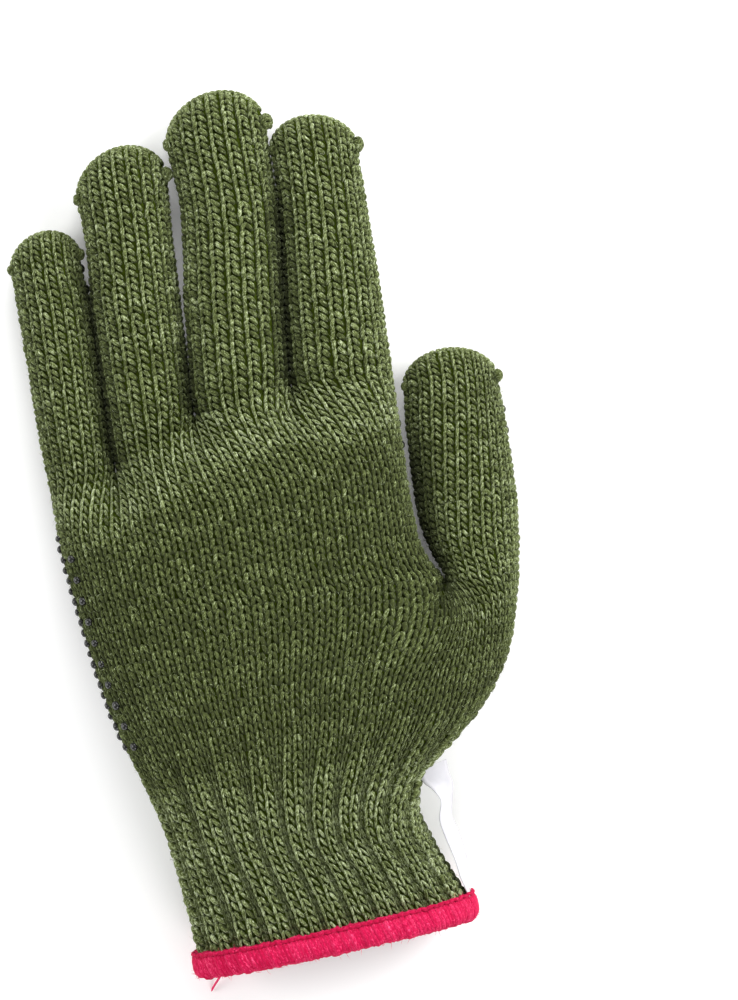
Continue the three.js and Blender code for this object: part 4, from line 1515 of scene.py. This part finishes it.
def add_seam(heap, finger):
    across = np.linspace(-0.97, 0.97, 200)
    line = tip_surface(finger, 1, across, SEAM_TURN)
    arcs = arc_lengths(line)
    spots = np.arange(SEAM_FREE[0], arcs[-1] - SEAM_FREE[1], SEAM_PITCH)
    at = np.stack([np.interp(spots, arcs, line[:, i]) for i in range(3)], -1)
    ahead = np.stack([np.interp(spots + 0.3, arcs, line[:, i]) for i in range(3)], -1)
    along = unit(ahead - at)
    out = unit(np.cross(along, np.array([0.0, 0.0, -1.0])))
    s = np.linspace(-1, 1, 6)[None, :, None]
    lean = rng.normal(*SEAM_LEAN, (len(spots), 1, 1))
    climb = np.array([0.0, 0.0, 1.0])
    sunk = out[:, None] * (SEAM_SINK[0] + SEAM_SINK[1] * s**2)
    paths = at[:, None] + s * SEAM_REACH * (along[:, None] * lean - climb) - sunk
    paths[..., 2] = np.maximum(paths[..., 2], SEAM_RADIUS + 0.05)
    add_strands(heap, paths, SEAM_RADIUS, 6, out[:, None])


print("strands along 20 mm of seam:", round(20 / SEAM_PITCH))

# %% Ears at the corners
EARS = {  # size of the knots at the left and the right end of each seam, mm
    "little": (1.1, 1.5),
    "ring": (1.3, 2.2),
    "middle": (1.7, 2.6),
    "index": (1.3, 2.2),
    "thumb": (1.1, 1.6),
}
EAR_PLACE = (0.96, 0.25)  # of a knot: how near the end of the tip's width, and how far over its dome
EAR_STRANDS, EAR_RADIUS = 22, 0.68
EAR_SHAPE = np.array([0.62, 0.85, 0.8])  # share of its size along x, y and z


def add_ear(heap, finger, side, size):
    """A knot: short bent strands that lie over each other round a ball, and hide its middle."""
    end = tip_surface(finger, 1, np.array([EAR_PLACE[0] * side]), EAR_PLACE[1])[0]
    middle = end + np.array([0.16 * (side + 0.6) * size, -size * 0.3, -0.4])
    first, second = unit(rng.normal(0, 1, (2, EAR_STRANDS, 3)))
    second = unit(second - first * (first * second).sum(-1, keepdims=True))
    bend = np.linspace(-1.1, 1.1, 6)[None, :, None]
    paths = first[:, None] * np.cos(bend) + second[:, None] * np.sin(bend)
    paths = middle + paths * EAR_SHAPE * size * rng.uniform(0.8, 1.05, (EAR_STRANDS, 1, 1))
    paths[..., 2] = np.maximum(paths[..., 2], 0.8)
    # The knots are drawn darker than the seam and less lit: painted shade.
    add_strands(heap, paths, EAR_RADIUS, 6, unit(rng.normal(0, 1, (EAR_STRANDS, 1, 3))), shade=0.35, painted_lit=0.8)


for finger in FINGERS:
    add_seam(HEAPS[finger], finger)
    for side, size in zip((-1, 1), EARS[finger]):
        add_ear(HEAPS[finger], finger, side, size)
    HEAPS[finger].mesh(NODE_OF[finger] + "_stitches", GREEN_YARN, "knit_yarn", UNDER_DOTS)
upper_heap.mesh("upper_hand_stitches", GREEN_YARN, "knit_yarn", UNDER_DOTS)
lower_heap.mesh("lower_hand_stitches", GREEN_YARN, "knit_yarn", UNDER_DOTS)
cuff_heap.mesh("rib_cuff_stitches", GREEN_YARN, "rib_yarn")

# %% [markdown]
# ## Hem
# The cut edge of the cuff is overlocked with bulky red thread. It is wound round the edge in a tight
# slanting spiral, and small stitches of the same thread hold it along its top. Both follow the rim of
# the cuff. Bulked thread is full of loops, so a wind has no clean outline: its width and its place waver.

# %% The rim that the hem follows
RIM_COURSE = -15.2
RED_SHADES = (srgb(176, 2, 56), srgb(217, 18, 84), srgb(244, 96, 138))
HEM_THREAD = yarn_material("hem_thread", *RED_SHADES, depth=0.6)


def rim():
    """The line of the cuff's lower edge once round, and the direction out of the cloth there."""
    course = np.full(HALF_WALES.shape, RIM_COURSE)
    sides = []
    for face in SIDES:
        at = LOWER_CLOTH[face].place(HALF_WALES, course)
        out = LOWER_CLOTH[face].place(HALF_WALES, course, np.ones(course.shape)) - at
        sides.append(np.concatenate([at, out], -1))
    once = np.concatenate([sides[0][:-1], sides[1][:0:-1]])
    return np.concatenate([once, once[:1]])


RIM = rim()
RIM_ARC = arc_lengths(RIM[:, :3])
RIM_LENGTH = RIM_ARC[-1]
DOWN = unit(np.array([HEM_LEAN, -1.0, 0.0]))


def on_rim(arc, out_mm, down_mm):
    """A point beside the rim: so far round it, out of it and below it."""
    found = np.stack([np.interp(np.mod(arc, RIM_LENGTH), RIM_ARC, RIM[:, i]) for i in range(6)], -1)
    outward_mm = unit(found[..., 3:]) * np.asarray(out_mm)[..., None]
    return found[..., :3] + outward_mm + DOWN * np.asarray(down_mm)[..., None]


print("hem length:", round(RIM_LENGTH, 1), "mm")

# %% Winds of bulked thread
HEM_HEIGHT, HEM_THICK, HEM_RISE = 7.4, 4.8, 1.1
HEM_INSET = 0.75  # of the roll's middle from the rim, into the cuff
WRAP_PITCH, WRAP_SLANT, WRAP_RADIUS = 1.16, 1.7, 1.08
WRAP_STEPS, WRAP_SIDES = 14, 8
WRAP_SHADE, WRAP_SHADE_SPREAD = 0.42, 0.16
WAVER_DOWN, WAVER_OUT, WAVER_ALONG = 0.14, 0.05, 0.16  # how much the winds waver
HALF_HIGH, HALF_THICK = HEM_HEIGHT / 2 - WRAP_RADIUS * 0.75, HEM_THICK / 2 - WRAP_RADIUS * 0.6


def squared(x):
    """Turns the sine or cosine of a circle into that of a square with round corners."""
    return np.sign(x) * np.abs(x) ** 0.7


def wavering(turn, step, spread, middle=0.0):
    """A random value that changes smoothly along the winds, with a new one at every step."""
    at = np.arange(0, WINDS + 3, step)
    return np.interp(turn, at, rng.normal(middle, spread, len(at)))


WINDS = int(RIM_LENGTH / WRAP_PITCH)
turn = np.arange(WINDS * WRAP_STEPS + 1) / WRAP_STEPS
angle = 2 * math.pi * turn
waver = wavering(turn, 0.5, 1.0)
thick = wavering(turn, 0.33, 0.09, 1.0)
down = HEM_HEIGHT / 2 - HALF_HIGH * squared(np.cos(angle)) + WAVER_DOWN * waver - HEM_RISE
out = HALF_THICK * squared(np.sin(angle)) * (1 + WAVER_OUT * waver) - HEM_INSET
slant = WRAP_SLANT * ((down + HEM_RISE) / HEM_HEIGHT - 0.5) * np.sign(np.sin(angle))
arc = turn * RIM_LENGTH / WINDS + slant + WAVER_ALONG * waver
wind = on_rim(arc, out, down)
wind[:, 2] = np.maximum(wind[:, 2], WRAP_RADIUS * 0.9)
forward = unit(on_rim(arc + 1, out * 0, down) - on_rim(arc - 1, out * 0, down))
marks = strand_marks(wind[None], WRAP_SIDES, WRAP_RADIUS, shade=np.array([WRAP_SHADE]))
turn_shades = rng.normal(WRAP_SHADE, WRAP_SHADE_SPREAD, WINDS + 2)
marks["tone"][..., 1] = np.interp(turn, np.arange(WINDS + 2), turn_shades)[None, :, None]
# Painted shade: each wind is darker where it turns over the top and the bottom edge of the roll.
marks["tone"][..., 0] = clamp01(0.7 + 0.3 * np.abs(out + HEM_INSET) / (HEM_THICK / 2))[None, :, None]
heap = Heap()
winding = strands(wind[None], WRAP_RADIUS * thick[None], WRAP_SIDES, forward[None])
heap.add(winding, closed_round=True, **marks)
print("the thread goes round the rim", WINDS, "times")

# %% Holding stitches and loose end
CHAIN_PITCH, CHAIN_HALF, CHAIN_RADIUS = 1.75, 1.15, 0.56
CHAIN_LEANS = (-0.25, 0.4)  # how far the stitches slant in turn
TAIL_FROM, TAIL_RADIUS = (-36.2, -126.8, 4.6), 0.34

spots = np.arange(0, RIM_LENGTH - 0.5, CHAIN_PITCH)[:, None] + np.linspace(-CHAIN_HALF, CHAIN_HALF, 5)
lean = np.where(np.arange(len(spots)) % 2, CHAIN_LEANS[1], CHAIN_LEANS[0])[:, None]
lean = lean + rng.normal(0, 0.15, (len(spots), 1))
s = np.linspace(-1, 1, 5)[None]
chain = on_rim(spots, HEM_THICK / 2 - 1.0 - 0.5 * s**2, 0.45 - HEM_RISE + lean * s)
chain[..., 2] = np.maximum(chain[..., 2], CHAIN_RADIUS - 0.01)
# The holding stitches are drawn darker than the winds, and their lit share of 0.8 is painted shade.
add_strands(heap, chain, CHAIN_RADIUS, 6, np.array([0.02, 1.0, 0.05]), shade=0.08, painted_lit=0.8)

s = np.linspace(0, 1, 12)
tail_x = TAIL_FROM[0] - 4.0 * s + 0.4 * np.sin(5 * s)
tail = np.stack([tail_x, TAIL_FROM[1] - 6.8 * s, TAIL_FROM[2] - 4.1 * s**0.7], -1)
add_strands(heap, tail[None], TAIL_RADIUS, 6, np.array([0.3, 0.2, 1.0]), shade=0.95)
hem = heap.mesh("hem_overlock", HEM_THREAD, "hem_thread")
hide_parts("hem")
print("holding stitches:", len(spots))

# %% [markdown]
# ## Label
# A narrow woven ribbon is sewn into the side of the cuff. It stands on edge, twists once under its top
# and ends in the hem. It could be a cloth simulation. Its few bends are quicker to give as a table of
# places, along which a strip of two skins is laid. It is left blank.

# %% Places of the label
RIBBON = table(("y", "x", "turn"), [
    (-76.0, 33.3, 66),
    (-80.0, 33.7, 58),
    (-83.0, 34.9, 40),
    (-87.0, 35.3, 22),
    (-91.0, 34.9, 23),
    (-96.0, 35.9, 27),
    (-102.0, 36.5, 24),
    (-108.0, 37.5, 17),
    (-112.0, 38.3, 9),
    (-116.5, 38.9, 4),
])
RIBBON_ENDS = (-76.0, -116.5)
RIBBON_WIDTH, RIBBON_THICK, RIBBON_LEVEL = 9.2, 0.3, 18.4
RIBBON_CURL = 0.5
TOP_SLANT, SLANT_MIDDLE = 0.16, 33.5  # slant of the top end, and the x about which it turns
SLANT_FROM, SLANT_OVER = -90.0, 14.0  # height from which it slants, and the way over which that comes
print("length of the label:", RIBBON_ENDS[0] - RIBBON_ENDS[1], "mm")

# %% Woven ribbon
def ribbon_material():
    s = Shader("woven_ribbon")
    along, across, _ = s.parts(s.attribute("yarn"))
    bands = {"wave_type": "BANDS", "bands_direction": "X"}
    where = {"Vector": s.vector(along, across, 0.0), "Scale": 4.0, "Distortion": 0.4}
    weave = s.add("ShaderNodeTexWave", bands, where)
    stains = s.noise(s.vector(along, across, 3.0), 0.25)
    colour = s.blend(stains, srgb(196, 195, 201), srgb(218, 217, 222))
    bump = s.add("ShaderNodeBump", sockets={"Strength": 0.4, "Distance": 0.0001, "Height": weave})
    return s.finish(Base_Color=colour, Roughness=0.42 + 0.2 * stains, Normal=bump)


WOVEN_RIBBON = ribbon_material()
print("nodes in the ribbon:", len(WOVEN_RIBBON.node_tree.nodes))

# %% Label
y = np.linspace(*RIBBON_ENDS, 64)
share = np.linspace(-1, 1, 9)
turn = np.radians(RIBBON["turn"](y))[:, None]
curl = RIBBON_CURL * np.sin(y * 0.35)[:, None] * share**2
x = RIBBON["x"](y)[:, None] - share * RIBBON_WIDTH / 2 * np.sin(turn) + curl * np.cos(turn)
z = RIBBON_LEVEL + share * RIBBON_WIDTH / 2 * np.cos(turn) + curl * np.sin(turn)
top_tilt = TOP_SLANT * (x - SLANT_MIDDLE) * smooth((y[:, None] - SLANT_FROM) / SLANT_OVER)
middle = np.stack([x, y[:, None] + top_tilt, z], -1)
flat = unit(np.cross(np.gradient(middle, axis=0), np.gradient(middle, axis=1)))
skins = [middle - flat * RIBBON_THICK / 2, middle + flat * RIBBON_THICK / 2]
ring = np.concatenate([skins[0], skins[1][:, ::-1]], 1)
marks = np.zeros(ring.shape)
marks[..., 0] = np.broadcast_to(-y[:, None], ring.shape[:2])
marks[..., 1] = np.concatenate([share, share[::-1]]) * RIBBON_WIDTH / 2
heap = Heap()
heap.add(ring[None], closed_round=True, yarn=marks[None])
label = heap.mesh("side_label_ribbon", WOVEN_RIBBON, "label_ribbon")
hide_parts("side_label")

# %% [markdown]
# ## Grip dots
# The palm is printed with dots of soft black vinyl, one column of them to a wale and every second column
# half a step higher. They start below the fingertips and stop in a straight row above the cuff. On the
# little finger's side the print runs round the edge, so a few dots show from the back. So each dot is put
# on the lattice by its wale and its height, just as the printing screen does it.

# %% Places of the dots in a column
DOT_STEP = 6.2
DOTS_FROM = -58.0
EDGE_DOTS_TO = 3.0  # height up to which the dots run round the little finger's edge of the hand
EDGE_WALES = 3  # of the palm that take part in that
STEEPEST, STEEPEST_AT_EDGE, ANY_SLOPE = -0.35, 0.3, 1.0
BARE_TIP, TIP_SLACK = 4.2, 2.5  # courses left bare under the seam of a fingertip, fewer beside its middle
BARE_WALES = {"index": 1, "thumb": 1}  # left bare at the outer side
JUST_OVER = 0.01
dot_at, dot_out = [], []


def print_dot_column(cloth, wale, first, last, crotch, parity, steepest=STEEPEST):
    """One column. steepest is the most that the cloth may face upward under a dot."""
    rows = np.arange(DOTS_FROM + parity * DOT_STEP / 2, 200, DOT_STEP)
    course = height_to_course(rows, crotch)
    course = course[(course >= first) & (course <= last)]
    spot = np.full(course.shape, wale)
    at = cloth.place(spot, course)
    out = cloth.place(spot, course, np.ones(course.shape)) - at
    dot_at.append(at[out[:, 2] < steepest])
    dot_out.append(out[out[:, 2] < steepest])


print("dots in a column 100 mm long:", round(100 / DOT_STEP))

# %% Places of all dots
first_course = height_to_course(DOTS_FROM, 100.0) - JUST_OVER
hand_top = HAND_TOP_COURSE + JUST_OVER
for finger in FINGERS:
    for n in range(WALES[finger] - BARE_WALES.get(finger, 0)):
        number = FIRST_WALE[finger] + n
        parity = number % 2
        crotch = float(crotch_line(finger, 2 * (n + 0.5) / WALES[finger] - 1))
        own = CLOTH[-1][finger]
        last = min(own.end[2 * n + 1], own.end[WALES[finger]] - TIP_SLACK) - BARE_TIP + TIP_SLACK
        at_edge = number < EDGE_WALES
        steep = STEEPEST_AT_EDGE if at_edge else STEEPEST
        split = height_to_course(EDGE_DOTS_TO, crotch) if at_edge else HAND_TOP_COURSE
        print_dot_column(LOWER_CLOTH[-1], number + 0.5, first_course, HAND_TOP_COURSE, crotch, parity, steep)
        print_dot_column(own, n + 0.5, hand_top, split, crotch, parity, steep)
        print_dot_column(own, n + 0.5, split + JUST_OVER, last, crotch, parity)
LITTLE_CROTCH = CROTCHES["little"][0]
for wale, highest in ((0.45, EDGE_DOTS_TO), (1.4, 6.0), (3.4, -1.0)):  # columns that show from the back
    last = height_to_course(highest, LITTLE_CROTCH)
    below, parity = min(last, HAND_TOP_COURSE), 1 - int(wale) % 2
    print_dot_column(LOWER_CLOTH[1], wale, first_course, below, LITTLE_CROTCH, parity, ANY_SLOPE)
    print_dot_column(CLOTH[1]["little"], wale, hand_top, last, LITTLE_CROTCH, parity, ANY_SLOPE)
dot_at, dot_out = np.concatenate(dot_at), unit(np.concatenate(dot_out))
print(len(dot_at), "dots")

# %% [markdown]
# The vinyl is soft and black and dries with a gloss, dulled by a little dust. A dot is a low dome. Its
# foot lies deep between the stitches, so its lowest ring is turned in under its widest one.

# %% Vinyl
def vinyl_material():
    s = Shader("grip_vinyl")
    where = s.add("ShaderNodeTexCoord", output="Object")
    dust = s.noise(where, 700.0, 2.0)
    colour = s.blend(dust, srgb(12, 13, 12), srgb(27, 28, 25))
    waves = s.noise(where, 500.0)
    bump = s.add("ShaderNodeBump", sockets={"Strength": 0.3, "Distance": 0.0002, "Height": waves})
    return s.finish(Base_Color=colour, Roughness=0.16 + 0.2 * dust, Normal=bump)


VINYL = vinyl_material()
print("nodes in the vinyl:", len(VINYL.node_tree.nodes))

# %% Domes
DOT_RADIUS, DOT_HEIGHT = 1.48, 1.2
DOT_BASE = 0.25  # how far a dome's widest ring stands over the cloth on the palm
DOME_RINGS = np.radians([-38, 8, 38, 64, 89.5])
DOME_SIDES = 9
THIN_PRINT = 0.82  # size of the dots where the print runs round the edge


def add_domes(heap, at, out, radius, height, base):
    """A low dome on each place, with its foot in the stitches and its top proud of them."""
    sideways = unit(np.cross(out, np.array([0.31, 0.95, 0.05])))
    upward = np.cross(out, sideways)
    angle = around_circle(DOME_SIDES)
    wide = radius[:, None] * np.cos(DOME_RINGS)
    high = height[:, None] * np.sin(DOME_RINGS) + base[:, None]
    ring = sideways[:, None, None] * np.cos(angle)[:, None] + upward[:, None, None] * np.sin(angle)[:, None]
    points = at[:, None, None] + ring * wide[:, :, None, None] + out[:, None, None] * high[:, :, None, None]
    heap.add(points, closed_round=True)


heap = Heap()
round_edge = smooth((dot_out[:, 2] + 0.6) / 0.5)  # 0 on the palm, 1 where the print has run round the edge
size = rng.normal(1, 0.06, (2, len(dot_at))) * mix(1.0, THIN_PRINT, round_edge)
base = DOT_BASE * (1 - round_edge)
add_domes(heap, dot_at, dot_out, DOT_RADIUS * size[0], DOT_HEIGHT * size[1], base)
heap.mesh("grip_dots", VINYL, "grip_dots")

# %% [markdown]
# Two more prints lie among the dots: a crescent under the crotch of the thumb, and a thin ridge near the
# middle of the palm. Both are strands that are pressed flat against the cloth.

# %% Crescent and ridge
PRINT_SIDES, PRINT_HEIGHT = 12, 0.9
CRESCENT_WIDTH, RIDGE_WIDTH = (0.25, 1.9), (0.12, 0.42)  # half widths: at the ends, and more in the middle


def bead_widths(s, width):
    return width[0] + width[1] * np.sqrt(1 - 0.985 * s**2)


def add_print(heap, wales, courses, widths, height):
    """A flat bead along a line of wales and courses of the palm."""
    cloth = LOWER_CLOTH[-1]
    at = cloth.place(wales, courses)
    out = unit(cloth.place(wales, courses, np.ones(wales.shape)) - at)
    along = unit(np.gradient(at, axis=0))
    side = unit(np.cross(along, out))
    angle = around_circle(PRINT_SIDES)
    ring = side[:, None] * (widths[:, None] * np.cos(angle))[..., None]
    rise = height * np.sqrt(widths / widths.max())[:, None] * np.sin(angle)
    heap.add((at[:, None] + ring + out[:, None] * rise[..., None])[None], closed_round=True)


heap = Heap()
s = np.linspace(-1, 1, 15)
crescent_courses = HAND_TOP_COURSE - 2.6 + 1.3 * s**2
ridge_courses = HAND_TOP_COURSE - 3.0 + 1.3 * s
add_print(heap, 35.0 + 1.75 * s, crescent_courses, bead_widths(s, CRESCENT_WIDTH), PRINT_HEIGHT)
add_print(heap, 24.0 + 0.1 * s, ridge_courses, bead_widths(s, RIDGE_WIDTH), PRINT_HEIGHT)
heap.mesh("palm_prints", VINYL, "grip_dots")

# %% [markdown]
# ## Loose fibres
# Spun yarn is hairy. The hairs are far thinner than a pixel, yet they soften the outline of the glove and
# catch light along its edges. Blender's own hair can't be kept as a mesh with the rest of the glove. So
# ten thousand short bent strands of three sides grow out of the stitches at random, and coarser red ones
# out of the hem.

# %% Hairs
HAIRS, HAIR_RADIUS, HAIR_LENGTH = 10000, 0.045, 1.3
HAIR_SIDES = 3


def add_hairs(heap, root, out, radius, length):
    count = len(root)
    aside = unit(np.cross(out, rng.normal(0, 1, (count, 3))))
    reach = (length * rng.uniform(0.5, 1.3, count))[:, None, None]
    s = np.array([0.0, 0.5, 1.0])[None, :, None]
    stand = rng.uniform(0.25, 0.9, (count, 1, 1))
    paths = root[:, None] + reach * (out[:, None] * stand * s + aside[:, None] * s**1.7 * 0.8)
    paths[..., 2] = np.maximum(paths[..., 2], 0.12)
    radii = radius * np.array([[1.0, 0.8, 0.4]]) * np.ones((count, 1))
    marks = strand_marks(paths, HAIR_SIDES, radius, 1.0, rng.uniform(0.6, 1.0, count))
    hairs = strands(paths, radii, HAIR_SIDES, np.cross(aside, out)[:, None])
    heap.add(hairs, closed_round=True, **marks)


def random_roots(cloth, wales, low, high, count):
    wale, course = rng.uniform(0, wales, count), rng.uniform(low, high, count)
    at = cloth.place(wale, course, np.full(count, -0.1))
    return at, unit(cloth.place(wale, course, np.full(count, 0.9)) - at)


print("faces on a hair:", 2 * HAIR_SIDES)

# %% Fuzz of the yarn
heap = Heap()
for face in SIDES:
    regions = [(CLOTH[face][f], WALES[f], HAND_TOP_COURSE, CLOTH[face][f].end.min(), 16) for f in FINGERS]
    regions.append((LOWER_CLOTH[face], ALL_WALES, 4, HAND_TOP_COURSE, 10))
    regions.append((CUFF_CLOTH[face], ALL_WALES, -15, 4, 11))
    for cloth, wales, low, high, share in regions:
        root, out = random_roots(cloth, wales, low, high, HAIRS // share)
        add_hairs(heap, root, out, HAIR_RADIUS, HAIR_LENGTH)
heap.mesh("yarn_fuzz", GREEN_YARN, "knit_yarn")

# %% Fuzz of the hem
HEM_HAIRS, HEM_HAIR_RADIUS, HEM_HAIR_LENGTH = 1300, 0.07, 1.6
heap = Heap()
arc = rng.uniform(0, RIM_LENGTH, HEM_HAIRS)
below = rng.uniform(-0.8, HEM_HEIGHT - HEM_RISE, HEM_HAIRS)
root = on_rim(arc, np.full(HEM_HAIRS, 1.1), below)
inside = on_rim(arc, np.full(HEM_HAIRS, -0.8), np.full(HEM_HAIRS, HEM_HEIGHT / 2))
add_hairs(heap, root, unit(root - inside), HEM_HAIR_RADIUS, HEM_HAIR_LENGTH)
heap.mesh("hem_fuzz", HEM_THREAD, "hem_thread")

# %% [markdown]
# ## Floor
# The glove lies on a large white sheet. The sheet glows a little, as the top of a light table does, so that
# it stays nearly white between the lamps while the glove still throws a soft shadow on it.

# %% Floor
FLOOR_SIDE, FLOOR_GLOW = 30.0, 0.12


def floor_material():
    s = Shader("pale_floor")
    s.set_constants(Emission_Color=(1, 1, 1, 1), Emission_Strength=FLOOR_GLOW)
    return s.finish(Base_Color=srgb(249, 249, 249), Roughness=0.8)


bpy.ops.mesh.primitive_plane_add(size=FLOOR_SIDE, location=(0, 0, 0))
floor = bpy.context.object
floor.name = "floor"
floor.data.materials.append(floor_material())
floor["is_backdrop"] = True
print("floor laid")

# %% Sizes and finish
low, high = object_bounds()
print("visual box in mm:", [round(1000 * (b - a), 1) for a, b in zip(low, high)])
